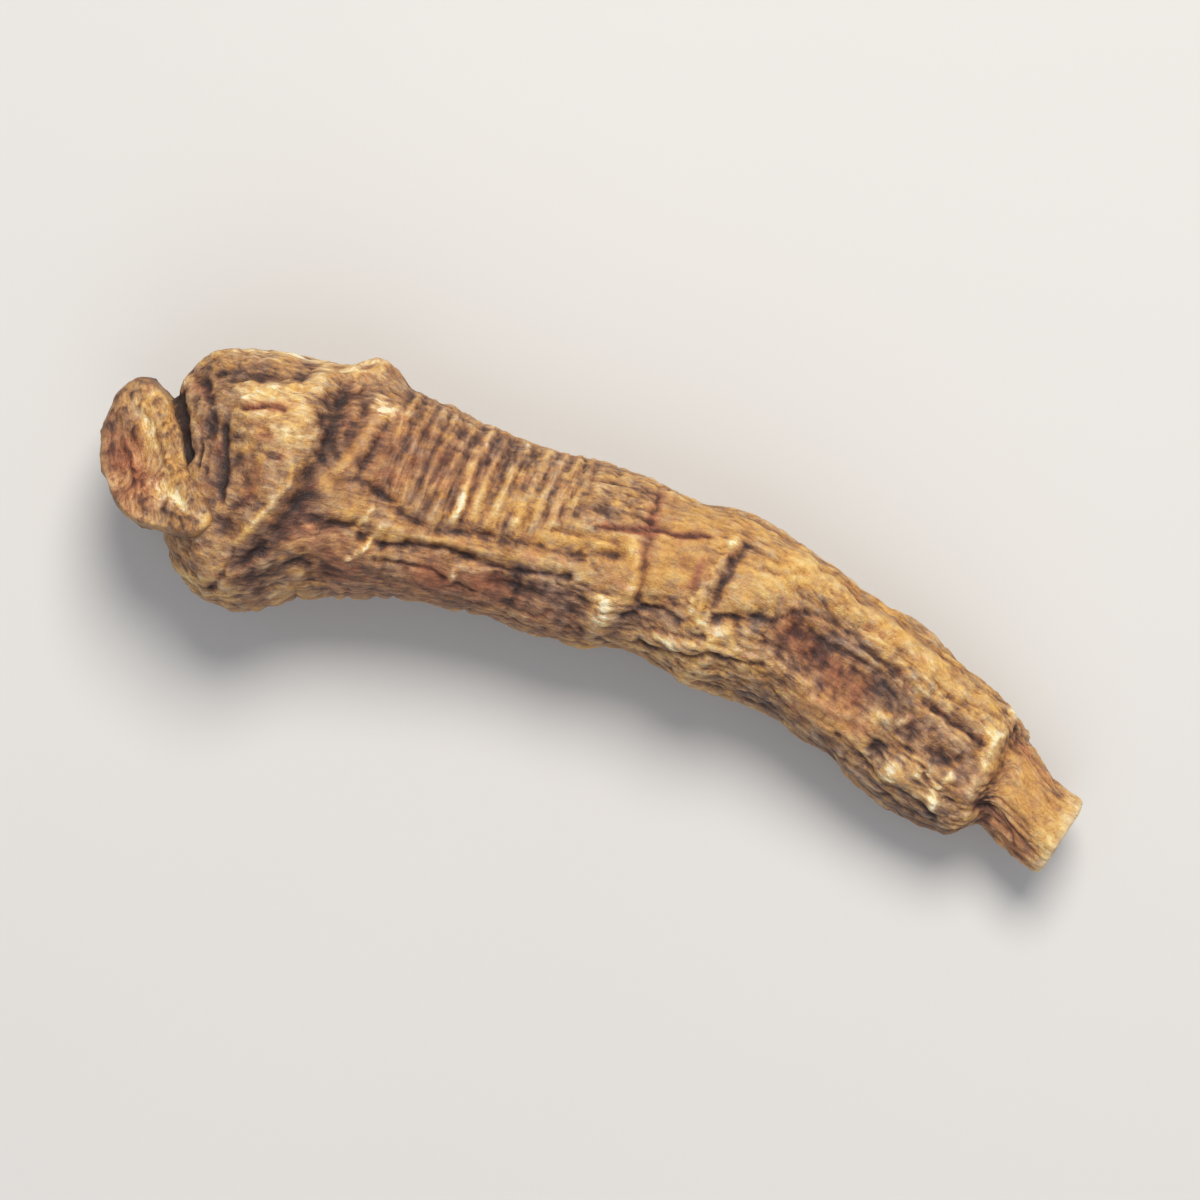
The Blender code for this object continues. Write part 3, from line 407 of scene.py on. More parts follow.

# Painted tints: how much paler (or darker, below zero), redder, yellower and greyer the skin is near a
# line, then the line's half-width and its points, seen from above. Some of them are painted shade,
# painted shadow and painted highlights.
TINTS = (
    ("pale facet", 0.21, 0.0, 0.25, 0.0, 1.30, ((-19.4, 4.8), (-18.0, 5.2))),
    # Painted highlight along the top of the shoulder ridge, on yellow skin.
    ("facet top", 0.23, 0.0, 0.2, 0.0, 0.55, ((-20.6, 6.0), (-18.6, 6.8), (-17.2, 7.8))),
    ("facet slit", -0.20, 0.9, 0.0, 0.0, 0.22, ((-20.4, 5.2), (-19.6, 5.5), (-18.6, 5.75))),
    ("facet pit", -0.10, 0.8, 0.0, 0.0, 0.26, ((-19.1, 4.05), (-18.8, 4.15))),
    # Painted highlight along the shoulder's upper rim.
    ("shoulder rim", 0.32, 0.0, 0.0, 0.0, 0.22,
     ((-23.4, 7.3), (-21.5, 8.2), (-18.5, 8.9), (-16.0, 9.5))),
    ("bump", 0.22, 0.0, 0.1, 0.0, 0.6, ((-16.6, 8.8), (-15.2, 9.6), (-14.3, 10.0))),
    ("diagonal ridge", 0.14, 0.0, 0.4, 0.0, 0.15,
     ((-17.1, 3.2), (-17.0, 2.3), (-17.2, 1.3), (-17.7, 0.2), (-18.4, -1.4))),
    ("facet orange", -0.05, 0.35, 0.5, 0.0, 0.8, ((-18.9, 2.4), (-18.6, 1.6))),
    # Painted shadow in the gap under the knob's rim.
    ("knob crevice", -0.40, 0.0, 0.0, 0.2, 0.45,
     ((-25.1, 5.1), (-24.2, 4.1), (-23.4, 2.9), (-22.8, 1.7))),
    ("first fold", 0.12, 0.0, 0.6, 0.0, 0.32, ((-14.3, 6.5), (-14.7, 4.8), (-15.1, 3.3))),
    ("second fold", 0.14, 0.0, 0.4, 0.0, 0.28, ((-13.1, 5.4), (-13.3, 4.1))),
    ("first ring", 0.18, 0.1, 0.2, 0.0, 0.20, ((-12.9, 8.3), (-12.6, 7.4), (-12.9, 6.1))),
    ("waist slab", 0.02, 0.0, 0.5, 0.0, 0.8, ((-15.6, 2.6), (-13.6, 2.4))),
    ("waist brown", -0.16, 0.2, 0.0, 0.1, 1.5, ((-15.4, 7.2), (-13.8, 5.4), (-13.6, 3.8))),
    # Darker in the waist hollow: partly painted shade, partly brown and grey skin.
    ("waist", -0.14, 0.1, 0.0, 0.2, 0.9, ((-16.0, 5.4), (-15.9, 2.0), (-16.8, -1.0), (-17.3, -2.6))),
    ("crown", -0.16, 0.1, 0.0, 0.2, 1.2, ((-23.2, 5.2), (-21.6, 3.0), (-20.6, 1.0))),
    ("crown red", 0.08, 0.6, 0.0, 0.0, 0.40, ((-23.8, 5.2), (-23.0, 5.3))),
    ("bulge", 0.04, 0.1, 0.1, 0.0, 0.8, ((-20.0, -2.6), (-18.8, -3.2))),
    ("bulge rim", 0.18, 0.0, 0.2, 0.0, 0.24, ((-21.2, -3.7), (-19.8, -4.2), (-18.2, -4.3))),
    ("bulge foot", -0.12, 0.1, 0.0, 0.2, 0.9, ((-20.6, -1.2), (-18.4, -1.6), (-17.2, -3.4))),
    ("waist red", -0.10, 0.45, 0.0, 0.0, 1.2, ((-15.4, 0.1), (-13.6, -0.2))),
    ("white chip", 0.60, 0.0, 0.0, 0.0, 0.42, ((-14.3, 8.0), (-13.6, 7.7))),
    ("scratch one", 0.40, 0.0, 0.0, 0.0, 0.16, ((-12.5, 2.8), (-12.7, 2.0), (-13.0, 1.2))),
    ("scratch two", 0.42, 0.0, 0.0, 0.0, 0.16, ((-11.95, 1.9), (-12.3, 0.5), (-12.9, -0.3))),
    ("ring zone", -0.10, 0.3, 0.1, 0.0, 2.4, ((-11.6, 6.2), (-9.8, 6.0))),
    ("ring glow", 0.16, 0.0, 0.6, 0.0, 1.1, ((-7.8, 5.0), (-6.6, 5.2), (-4.8, 5.6))),
    ("ring stroke", 0.18, 0.1, 0.2, 0.0, 0.22, ((-8.4, 8.7), (-8.4, 7.0), (-8.6, 5.8))),
    ("ring stroke two", 0.16, 0.0, 0.5, 0.0, 0.24, ((-7.6, 7.4), (-7.6, 5.6), (-7.6, 4.0))),
    ("ring chip", 0.50, 0.0, 0.0, 0.0, 0.22, ((-8.55, 5.3), (-8.4, 4.0))),
    ("ring dark", -0.16, 0.1, 0.0, 0.3, 0.55, ((-7.9, 8.4), (-7.7, 6.6))),
    ("ring dark two", -0.14, 0.1, 0.0, 0.2, 0.45, ((-4.7, 8.4), (-4.3, 7.2))),
    ("band", 0.02, 0.1, 0.4, 0.0, 0.5, ((-12.0, 2.1), (-9.0, 2.3), (-6.0, 2.9), (-3.0, 3.8))),
    # Darker along the neck's lower flank: partly painted shade of the underside, partly red and grey
    # skin.
    ("flank", -0.14, 0.25, 0.0, 0.15, 1.4, ((-13.0, -1.4), (-9.5, 0.0), (-5.0, 0.6), (-1.5, 0.9))),
    ("flank red", 0.0, 0.75, 0.0, 0.0, 0.8, ((-9.0, 0.5), (-8.2, 0.6))),
    ("flank red two", 0.0, 0.6, 0.0, 0.0, 0.8, ((-6.2, 1.1), (-5.4, 1.2))),
    ("flank chip", 0.5, 0.0, 0.0, 0.0, 0.16, ((-7.5, 1.3), (-7.6, 0.7))),
    ("flank grey", -0.06, 0.0, 0.0, 0.6, 0.9, ((-3.0, 2.0), (-1.6, 1.6))),
    ("flank shadow", -0.20, 0.0, 0.0, 0.2, 0.4, ((-4.3, 2.6), (-4.2, 1.0))),
    ("body streak", 0.10, 0.0, 0.7, 0.0, 0.55, ((-3.8, 4.7), (-1.4, 5.3), (0.4, 5.6))),
    ("lip gold", 0.04, 0.2, 0.7, 0.0, 0.6, ((0.2, 4.4), (1.2, 3.8))),
    ("body yellow", 0.04, 0.10, 0.9, 0.0, 1.5, ((2.2, 5.2), (3.4, 6.4))),
    ("body top", 0.08, 0.0, 0.6, 0.0, 1.0, ((1.5, 8.3), (3.5, 8.7), (6.5, 8.9))),
    ("ring one shade", -0.08, 0.2, 0.0, 0.0, 0.3, ((1.0, 9.3), (1.0, 7.6), (1.1, 6.2))),
    ("red line one", -0.12, 0.9, 0.0, 0.0, 0.20, ((-1.2, 6.3), (0.2, 6.5), (1.5, 6.9))),
    ("red line two", -0.10, 0.8, 0.0, 0.0, 0.18, ((0.6, 6.9), (2.4, 7.1), (4.0, 7.6))),
    ("red groove", 0.0, 0.3, 0.0, 0.0, 0.5, ((1.0, 8.4), (1.1, 7.2), (1.5, 5.2))),
    ("ring edge", 0.18, 0.0, 0.3, 0.0, 0.20, ((0.3, 6.0), (1.0, 5.5), (1.45, 4.3), (1.4, 3.2))),
    ("body chip", 0.58, 0.0, 0.0, 0.0, 0.42, ((0.2, 2.6), (0.5, 1.7))),
    ("arch shade", -0.14, 0.1, 0.0, 0.3, 0.55, ((1.6, 2.0), (2.6, 2.7), (3.8, 2.7))),
    ("low flank", 0.10, 0.0, 0.1, 0.0, 0.7, ((2.8, 1.5), (5.0, 1.9), (8.0, 2.4))),
    ("scar top", 0.34, 0.0, 0.1, 0.0, 0.20, ((5.6, 8.1), (5.3, 7.5))),
    ("scar edge", 0.20, 0.1, 0.1, 0.0, 0.16, ((5.4, 7.2), (5.1, 6.0), (4.8, 5.2))),
    ("scar left", 0.34, 0.0, 0.1, 0.0, 0.18, ((4.7, 5.0), (4.5, 4.3), (4.8, 3.6), (5.5, 3.3))),
    ("scar right", 0.26, 0.0, 0.1, 0.0, 0.15, ((5.3, 4.9), (5.5, 4.2), (5.6, 3.5))),
    ("scar red", -0.06, 0.8, 0.0, 0.0, 0.25, ((4.3, 6.2), (4.2, 5.0))),
    ("scar shade", -0.12, 0.10, 0.0, 0.1, 0.30, ((5.85, 8.6), (5.9, 6.2), (5.7, 4.6))),
    ("scar dark", -0.30, 0.1, 0.0, 0.2, 0.16, ((5.5, 7.2), (5.6, 6.6))),
    ("scar dark two", -0.26, 0.1, 0.0, 0.2, 0.20, ((5.6, 6.0), (5.7, 5.4))),
    ("scar eye", -0.04, 0.1, 0.8, 0.0, 0.22, ((5.0, 4.7), (5.1, 4.1))),
    ("knuckle", 0.34, 0.0, 0.3, 0.0, 0.28, ((6.2, 2.9), (6.7, 3.5))),
    ("edge knuckle", 0.16, 0.0, 0.1, 0.0, 0.5, ((5.5, 0.5), (6.2, 1.3))),
    ("swell", 0.09, 0.0, 0.7, 0.0, 1.3, ((7.0, 6.2), (8.4, 7.2))),
    ("swell flecks", 0.10, 0.0, 0.3, 0.0, 0.5, ((6.6, 6.8), (7.4, 6.9), (8.6, 6.4))),
    ("crest", 0.14, 0.0, 0.6, 0.0, 0.9,
     ((9.0, 8.2), (12.0, 7.5), (15.0, 6.7), (18.0, 5.7), (21.0, 4.8))),
    ("crest spot", 0.18, 0.0, 0.4, 0.0, 0.5, ((16.9, 5.7), (17.4, 5.6))),
    ("hollow shade", -0.15, 0.0, 0.0, 0.0, 1.3, ((10.2, 4.2), (12.2, 4.0), (14.2, 3.3))),
    ("hollow red one", -0.12, 0.75, 0.0, 0.0, 1.0, ((10.0, 4.8), (11.0, 4.3))),
    ("hollow red two", -0.10, 0.75, 0.2, 0.0, 0.95, ((12.8, 3.5), (14.0, 3.2))),
    ("hollow orange", 0.06, 0.45, 0.45, 0.0, 0.9, ((12.0, 1.6), (14.6, 1.4))),
    ("hollow grey one", -0.11, 0.0, 0.0, 0.6, 0.6, ((12.2, 5.2), (13.4, 5.0))),
    ("hollow grey two", -0.12, 0.0, 0.0, 0.6, 0.6, ((15.4, 4.0), (16.4, 3.4))),
    ("hollow dark", -0.18, 0.0, 0.0, 0.4, 0.50, ((16.2, 0.9), (16.8, 0.4))),
    ("tail fleck one", 0.30, 0.0, 0.2, 0.0, 0.34, ((15.8, 2.3), (16.2, 2.0))),
    ("tail fleck two", 0.24, 0.0, 0.1, 0.0, 0.26, ((16.9, 2.3), (17.3, 2.6))),
    ("tail fleck three", 0.42, 0.0, 0.3, 0.0, 0.48, ((17.0, -0.5), (17.5, -0.1))),
    ("tail fleck four", 0.38, 0.0, 0.0, 0.0, 0.20, ((18.7, 0.2), (19.3, 0.4))),
    ("tail zigzag", 0.52, 0.0, 0.0, 0.0, 0.24, ((20.4, 0.6), (19.8, -0.3), (20.1, -1.0))),
    ("tail brown", -0.07, 0.15, 0.0, 0.2, 1.0, ((18.0, 2.4), (20.6, 1.8), (21.8, 0.4))),
    # Darker and greyer along the lower side: painted shade.
    ("lower grey", -0.08, 0.0, 0.0, 0.45, 0.8, ((9.0, 0.6), (13.0, -0.4), (17.0, -1.6), (21.0, -2.2))),
    ("collar pale", 0.14, 0.0, 0.1, 0.0, 0.4, ((22.6, 5.1), (22.1, 4.2), (21.8, 3.2), (22.0, 2.0))),
    ("collar fleck", 0.28, 0.0, 0.1, 0.0, 0.26, ((22.3, 5.1), (22.6, 5.0))),
    ("collar fleck two", 0.28, 0.0, 0.2, 0.0, 0.24, ((21.2, 3.9), (21.9, 3.5), (22.0, 3.1))),
    ("collar fleck three", 0.34, 0.0, 0.0, 0.0, 0.22, ((21.7, 2.4), (21.8, 2.1))),
    ("collar dark", -0.30, 0.0, 0.0, 0.3, 0.24, ((23.1, 4.9), (22.9, 4.5))),
    ("stub top", -0.04, 0.4, 0.0, 0.0, 0.5, ((22.8, 4.4), (23.8, 3.5), (25.4, 2.8))),
    ("tail stub", 0.10, 0.15, 1.0, 0.0, 1.4, ((23.4, 2.2), (25.0, 1.0), (26.2, 0.4))),
    ("stub pale", 0.20, 0.0, 0.3, 0.0, 0.4, ((22.8, 3.0), (23.6, 2.3))),
    ("stub end", 0.24, 0.0, 0.2, 0.0, 0.7, ((27.3, 2.2), (26.9, 0.4), (26.4, -1.8))),
    ("stub line", -0.22, 0.3, 0.0, 0.1, 0.18, ((23.0, 0.0), (24.8, -0.8), (26.0, -1.5))),
    # Painted shade on the stub's lower flank, on red skin.
    ("stub flank", -0.10, 0.5, 0.0, 0.1, 0.35, ((22.9, -0.5), (24.6, -1.3), (26.0, -2.1))),
)

# Tints on the knob, in the same form.
KNOB_TINTS = (
    ("scar", 0.04, 0.85, 0.3, 0.0, 1.3, ((-25.6, 0.8), (-24.6, -0.6))),
    ("scar depth", -0.24, 0.2, 0.0, 0.3, 0.6, ((-27.1, 2.2), (-26.8, 1.1), (-26.2, 0.3))),
    ("inner lip", 0.24, 0.0, 0.8, 0.0, 0.4, ((-25.8, 3.5), (-25.0, 2.3), (-24.3, 1.0))),
    ("outer lip", 0.10, 0.0, 0.5, 0.0, 0.7, ((-25.2, 4.2), (-24.0, 3.0), (-23.3, 1.6), (-22.4, 0.3))),
    ("pale fleck", 0.44, 0.0, 0.1, 0.0, 0.28, ((-23.8, -0.1), (-22.9, -0.3), (-21.8, -0.7))),
    ("tip", 0.20, 0.0, 0.3, 0.0, 0.6, ((-21.4, -1.0), (-20.6, -0.8))),
    ("low rim", 0.14, 0.2, 0.0, 0.0, 0.25, ((-25.8, -0.9), (-24.6, -1.8), (-23.2, -2.1))),
)

TINT_NAMES = ("pale", "red", "yellow", "grey")

# How strongly the relief pales and darkens the skin's colour, and how wide its two widths are: soil in
# the creases and wear on the ridges, together with painted shade in the creases and hollows and
# painted light on the ridges.
RIDGE_PAINTED_SHADE = 0.35
RING_PAINTED_SHADE = 1.5
SKIN_PAINTED_SHADE = 0.85
SHOULDER_SKIN_PAINTED_SHADE = 0.60
RIDGE_WEAR_AND_PAINTED_LIGHT_GAIN = 1.5
CREASE_SOIL_AND_PAINTED_SHADE_GAIN = 2.6
BROAD_PAINTED_SHADE_GAIN = 0.6
NARROW_TURNS = 7
BROAD_TURNS = 70

# Skin colours from the deepest folds to the palest flecks, as sRGB shades from 0 to 255.
SHADE_PLACES = (0.0, 0.22, 0.42, 0.58, 0.76, 0.92, 1.0)
BROWN_SHADES = (
    (48, 31, 26), (90, 61, 46), (142, 103, 72), (178, 136, 92), (210, 170, 116),
    (230, 202, 146), (242, 228, 188),
)
YELLOW_SHADES = (
    (60, 36, 22), (112, 72, 40), (170, 118, 62), (207, 154, 80), (226, 182, 104),
    (237, 208, 138), (244, 230, 182),
)
GREY_SHADES = (
    (44, 33, 32), (80, 62, 57), (119, 96, 84), (150, 127, 110), (190, 168, 143),
    (224, 208, 184), (242, 232, 214),
)
RED_SHADES = (
    (58, 29, 22), (104, 56, 38), (152, 92, 62), (182, 118, 80), (210, 154, 110),
    (232, 192, 148), (246, 222, 190),
)
CUT_SHADES = ((0.15, (104, 66, 36)), (0.38, (176, 130, 78)), (0.55, (218, 178, 120)),
              (0.80, (240, 214, 164)))

# Noises in the skin's colour and shading: scale along each axis, detail, roughness and
# distortion.
SKIN_NOISES = {
    "mottle": ((0.55, 0.75, 0.75), 4.0, 0.58, 0.4),
    "streaks": ((0.9, 3.4, 3.4), 4.0, 0.62, 0.5),
    "hoops": ((3.4, 0.8, 0.8), 3.0, 0.60, 0.5),
    "flecks": ((1.3, 2.2, 2.2), 3.0, 0.60, 0.8),
    "patches": ((0.8, 1.0, 1.0), 5.0, 0.65, 0.8),
    "hues": ((1.6, 2.2, 2.2), 4.0, 0.7, 0.8),
    "warmth": ((1.1, 1.4, 1.4), 4.0, 0.65, 0.6),
    "specks": ((4.6, 5.0, 5.0), 3.0, 0.72, 0.3),
    "pith": ((3.0, 3.0, 3.0), 5.0, 0.72, 0.5),
    "crinkle": ((2.6, 3.4, 3.4), 3.0, 0.6, 1.2),
    "threads": ((2.2, 12.0, 12.0), 3.0, 0.6, 0.3),
    "grain": ((9.0, 11.0, 11.0), 3.0, 0.65, 0.2),
}
NOISE_RANGE = (0.3, 0.7)

# The tone of plain skin, and how far each noise moves it to either side.
PLAIN_TONE = 0.50
MOTTLE_SWING = 0.15
FLECK_SWING = 0.11
STREAK_SWING = 0.19
HOOP_SWING = 0.17
SPECK_SWING = 0.06

# Relief in the shading alone: depth in metres and strength. Then the skin's gloss.
BUMPS = {"crinkle": (0.00030, 0.6), "threads": (0.00007, 0.5), "grain": (0.00007, 0.6)}
SKIN_ROUGHNESS = (0.44, 0.74)
SKIN_SPECULAR = 0.5

# Camera, and the direction that is up in the picture.
PHOTO_ROLL_DEGREES = 21.3
CAMERA_LENS = 135.0
CAMERA_DISTANCE_M = 0.236
CAMERA_TILT_DEGREES = 2.0
CAMERA_SENSOR = 36.0
CAMERA_CLIP_M = (0.01, 10.0)

# Floor, sky and lamps. A lamp has a name, how far up the picture it stands, what is added to
# that place, its width, all in metres, its power in watts and its shade.
FLOOR_HALF_SIZE_M = 0.6
FLOOR_DROP_M = 0.00002
FLOOR_SHADE = (214, 212, 209)
FLOOR_MOTTLING = 6
FLOOR_NOISE = ((14.0, 14.0, 14.0), 3.0, 0.5)
FLOOR_ROUGHNESS = 0.85
SKY_SHADE = (235, 240, 248)
SKY_STRENGTH = 0.38
LAMPS = (
    ("key_light", 0.24, (0.06, 0.0, 0.36), 0.22, 1.75, (255, 250, 242)),
    ("fill_light", -0.28, (0.0, 0.0, 0.36), 0.45, 0.50, (244, 247, 255)),
)


def smooth_step(low, high, values):
    """0 below low, 1 above high and an eased slope between."""
    share = np.clip((values - low) / (high - low), 0.0, 1.0)
    return share * share * (3.0 - 2.0 * share)


def within(span, values):
    """1 between the two middle places of the span, and 0 outside its outer two."""
    start, full, falling, end = span
    return smooth_step(start, full, values) * (1.0 - smooth_step(falling, end, values))


def read_curve(knots, values, places):
    """Smooth curve through the values at the knots, read at the places."""
    values = np.asarray(values, float)
    slopes = np.gradient(values, knots, axis=0)
    left = np.clip(np.searchsorted(knots, places, side="right") - 1, 0, len(knots) - 2)
    gap = (knots[left + 1] - knots[left])[:, None]
    share = (places[:, None] - knots[left][:, None]) / gap
    cube = share ** 3
    square = share ** 2
    return ((2 * cube - 3 * square + 1) * values[left]
            + (cube - 2 * square + share) * gap * slopes[left]
            + (3 * square - 2 * cube) * values[left + 1]
            + (cube - square) * gap * slopes[left + 1])


def gradient_noise(points, seed):
    """Seeded gradient noise, about -1 to 1, at each point of an array of 3-D points."""
    random = np.random.default_rng(seed)
    order = random.permutation(256)
    order = np.concatenate([order, order])
    directions = random.normal(size=(256, 3))
    directions /= np.linalg.norm(directions, axis=1)[:, None]
    cell = np.floor(points).astype(int)
    inside = points - cell
    eased = inside ** 3 * (inside * (inside * 6.0 - 15.0) + 10.0)
    total = np.zeros(points.shape[:-1])
    for corner in itertools.product((0, 1), repeat=3):
        place = (cell + corner) % 256
        pick = order[order[order[place[..., 0]] + place[..., 1]] + place[..., 2]]
        push = (directions[pick] * (inside - corner)).sum(axis=-1)
        total += push * np.prod(np.where(corner, eased, 1.0 - eased), axis=-1)
    return total * NOISE_GAIN


def noise(use, points):
    """The seeded noise of one use, read at the points."""
    width, step = NOISES[use]
    return gradient_noise(points / width, SEED + step)


def varied(setting, amounts):
    """The setting's middle value, swung by noise and held between its least and its most."""
    middle, swing, least, most = setting
    return np.clip(middle + swing * amounts, least, most)


def line_distance(points, x, y):
    """Distance in plan from each (x, y) to the line through the points."""
    nearest = np.full(x.shape, np.inf)
    for (ax, ay), (bx, by) in zip(points[:-1], points[1:]):
        length_squared = (bx - ax) ** 2 + (by - ay) ** 2
        share = np.clip(((x - ax) * (bx - ax) + (y - ay) * (by - ay)) / length_squared, 0.0, 1.0)
        away = np.hypot(x - ax - share * (bx - ax), y - ay - share * (by - ay))
        nearest = np.minimum(nearest, away)
    return nearest


def body_rows():
    """Rows of the loft: centre, direction across, the three half-sizes and place along it."""
    table = np.array(SECTIONS)
    middles = (table[:, 0:2] + table[:, 2:4]) / 2.0
    steps = np.linalg.norm(np.diff(middles, axis=0), axis=1)
    knots = np.concatenate([[0.0], np.cumsum(steps)])
    fine = np.linspace(0.0, knots[-1], 2000)
    along_x = np.interp(fine, knots, middles[:, 0])
    weight = np.cumsum(1.0 + NECK_DENSITY * within(NECK_SPAN, along_x))
    share = (weight - weight[0]) / (weight[-1] - weight[0])
    places = np.interp(np.linspace(0.0, 1.0, BODY_ROWS), share, fine)
    return places, read_curve(knots, table, places)


def crown_dome(places, rows):
    """Rows that close the crown end with a blunt dome, smallest first."""
    scales = np.arange(1, CROWN_DOME_ROWS) / CROWN_DOME_ROWS
    shifts = CROWN_DOME_LENGTH * (1.0 - scales ** 2)
    first = rows[0]
    middle = (first[0:2] + first[2:4]) / 2.0
    half = (first[0:2] - first[2:4]) / 2.0
    outward = np.array([-half[1], half[0]]) / np.linalg.norm(half)
    dome = []
    for scale, shift in zip(scales, shifts):
        centre = middle + outward * shift
        dome.append(np.concatenate([centre + half * scale, centre - half * scale,
                                    [first[4]], first[5:7] * scale]))
    starts = places[0] - shifts
    pole = np.array([*(middle + outward * CROWN_DOME_LENGTH), first[4]])
    return starts, np.array(dome), pole


def cut_face(rows):
    """Rows of the rounded rim and the flat face where the tail was cut."""
    last = rows[-1]
    middle = (last[0:2] + last[2:4]) / 2.0
    half = (last[0:2] - last[2:4]) / 2.0
    outward = np.array([half[1], -half[0]]) / np.linalg.norm(half)
    centre = middle + outward * CUT_RIM_ROUNDING
    face = []
    for scale in CUT_FACE_SCALES:
        face.append(np.concatenate([centre + half * scale, centre - half * scale,
                                    [last[4]], last[5:7] * scale]))
    pole = np.array([*centre, last[4]])
    return np.array(face), pole


def lay_out(rows, angles):
    """Points of the plain loft, before any ridge or wrinkle: rows by columns by XYZ."""
    power = 2.0 / SECTION_SQUARENESS
    across = np.sign(np.cos(angles)) * np.abs(np.cos(angles)) ** power
    upward = np.sign(np.sin(angles)) * np.abs(np.sin(angles)) ** power
    middle = (rows[:, None, 0:2] + rows[:, None, 2:4]) / 2.0
    half = (rows[:, None, 0:2] - rows[:, None, 2:4]) / 2.0
    plan = middle + half * across[None, :, None]
    height = np.where(upward >= 0.0, rows[:, None, 5] * upward, rows[:, None, 6] * upward)
    return np.dstack([plan, (rows[:, None, 4] + height)[..., None]])


def outward_normals(grid):
    """Unit normals of a grid that is closed round its columns."""
    along = np.gradient(grid, axis=0)
    around = np.roll(grid, -1, axis=1) - np.roll(grid, 1, axis=1)
    normals = np.cross(around, along)
    return normals / np.maximum(np.linalg.norm(normals, axis=2), 1e-9)[..., None]


def unevenness(grid):
    """Seeded noise, about -1 to 1, that breaks the ridges and tints into stretches."""
    broad, narrow = UNEVENNESS
    return broad * noise("uneven", grid) + narrow * noise("uneven fine", grid)


def wander(grid):
    """The plan coordinates, shifted a little by noise, so that no line runs true."""
    shift_x = noise("wander x", grid) + 0.5 * noise("wander x fine", grid)
    shift_y = noise("wander y", grid) + 0.5 * noise("wander y fine", grid)
    return grid[..., 0] + LINE_WANDER * shift_x, grid[..., 1] + LINE_WANDER * shift_y


def line_relief(lines, x, y, uneven):
    """Height of a set of named ridges and grooves, which swell and fade along their run."""
    ridges = np.zeros(x.shape)
    grooves = np.zeros(x.shape)
    strength = varied(LINE_STRENGTH, uneven)
    spread = varied(LINE_SPREAD, uneven)
    for _name, half_width, height, points in lines:
        away = line_distance(points, x, y) / (half_width * spread)
        relief = height * strength * np.exp(-away ** LINE_PROFILE)
        ridges = np.maximum(ridges, relief)
        grooves = np.minimum(grooves, relief)
    return ridges, grooves


def ring_relief(grid, straight, angles, upward):
    """Raised rings round the neck, which stop at the upper long groove."""
    x = grid[..., 0]
    wobble = (RING_WOBBLE * noise("ring wobble", straight)
              + 0.5 * RING_WOBBLE * noise("ring wobble fine", straight))
    relief = np.zeros(x.shape)
    for place, height in RINGS:
        relief += height * np.exp(-((x + wobble - place) / RING_HALF_WIDTH) ** 2)
    first, last = RINGS[0][0], RINGS[-1][0]
    on_neck = within((first - RING_ZONE_EASE, first, last, last + RING_ZONE_EASE), x)
    relief -= RING_ZONE_DROP * on_neck
    groove = np.array({name: points for name, *_sizes, points in LINES}["upper long groove"])
    over_groove = grid[..., 1] - np.interp(x, groove[:, 0], groove[:, 1])
    above_groove = smooth_step(*RING_GROOVE_EASE, over_groove)
    degrees = np.degrees(angles)[None, :] % 360.0
    behind = smooth_step(*RING_LOW_SIDE_DEGREES, degrees) + (degrees < 90.0)
    up = smooth_step(*RING_TOP_RANGE, upward)
    share = up * above_groove + (1.0 - up) * RING_SHARE_BEHIND * np.clip(behind, 0.0, 1.0)
    patchy = varied(RING_PATCHES, noise("ring patches", straight))
    return relief * share * patchy, on_neck * share


def lump_relief(grid, angles):
    """Rounded stumps and knobs placed by their angle round the body."""
    middle_x = grid[..., 0].mean(axis=1)[:, None]
    radius = np.linalg.norm(grid - grid.mean(axis=1)[:, None, :], axis=2)
    relief = np.zeros(grid.shape[:2])
    for _name, place, degrees, half_width, height in LUMPS:
        turn = angles[None, :] - math.radians(degrees)
        turn = np.arctan2(np.sin(turn), np.cos(turn))
        away = np.hypot(middle_x - place, turn * radius)
        relief += height * np.exp(-(away / half_width) ** 2)
    return relief


def creases(values):
    """Folded skin: rounded swells with narrow valleys where the values pass through zero."""
    return 0.5 * np.abs(values) - np.exp(-(values / WRINKLE_SHARPNESS) ** 2)


def unfolded(values):
    """Smooth swells: the values as they are."""
    return values


def layered_relief(layers, first_seed, straight, bend, up):
    """The sum of layers of seeded wrinkles, each with its shape and its share, bent by noise."""
    relief = np.zeros(up.shape)
    for number, (layer, shape, share) in enumerate(layers):
        along, around, depth_up, depth_down = layer
        places = straight / (along, around, around) + bend[..., None] * LAYER_BEND
        depth = depth_up * up + depth_down * (1.0 - up)
        relief += depth * shape(gradient_noise(places, first_seed + number)) * share
    return relief


def wrinkle_relief(straight, upward, x):
    """Seeded swells, lengthwise wrinkles and faint cross wrinkles, deeper on the belly."""
    up = smooth_step(*WRINKLE_TOP_RANGE, upward)
    bend = WRINKLE_BEND * noise("wrinkle bend", straight)
    past_neck = smooth_step(*BODY_START, x) * (1.0 - 0.6 * smooth_step(*STUB_START, x))
    patchy = varied(WRINKLE_PATCHES, noise("wrinkle patches", straight))
    layers = (
        (SWELLS, unfolded, 1.0),
        (LONG_WRINKLES, creases,
         0.35 + 0.65 * past_neck + 0.25 * (1.0 - up) * (1.0 - past_neck)),
        (CROSS_WRINKLES, creases, (1.0 - 0.75 * past_neck) * patchy),
    )
    return layered_relief(layers, SEED + WRINKLE_SEED_STEP, straight, bend, up)


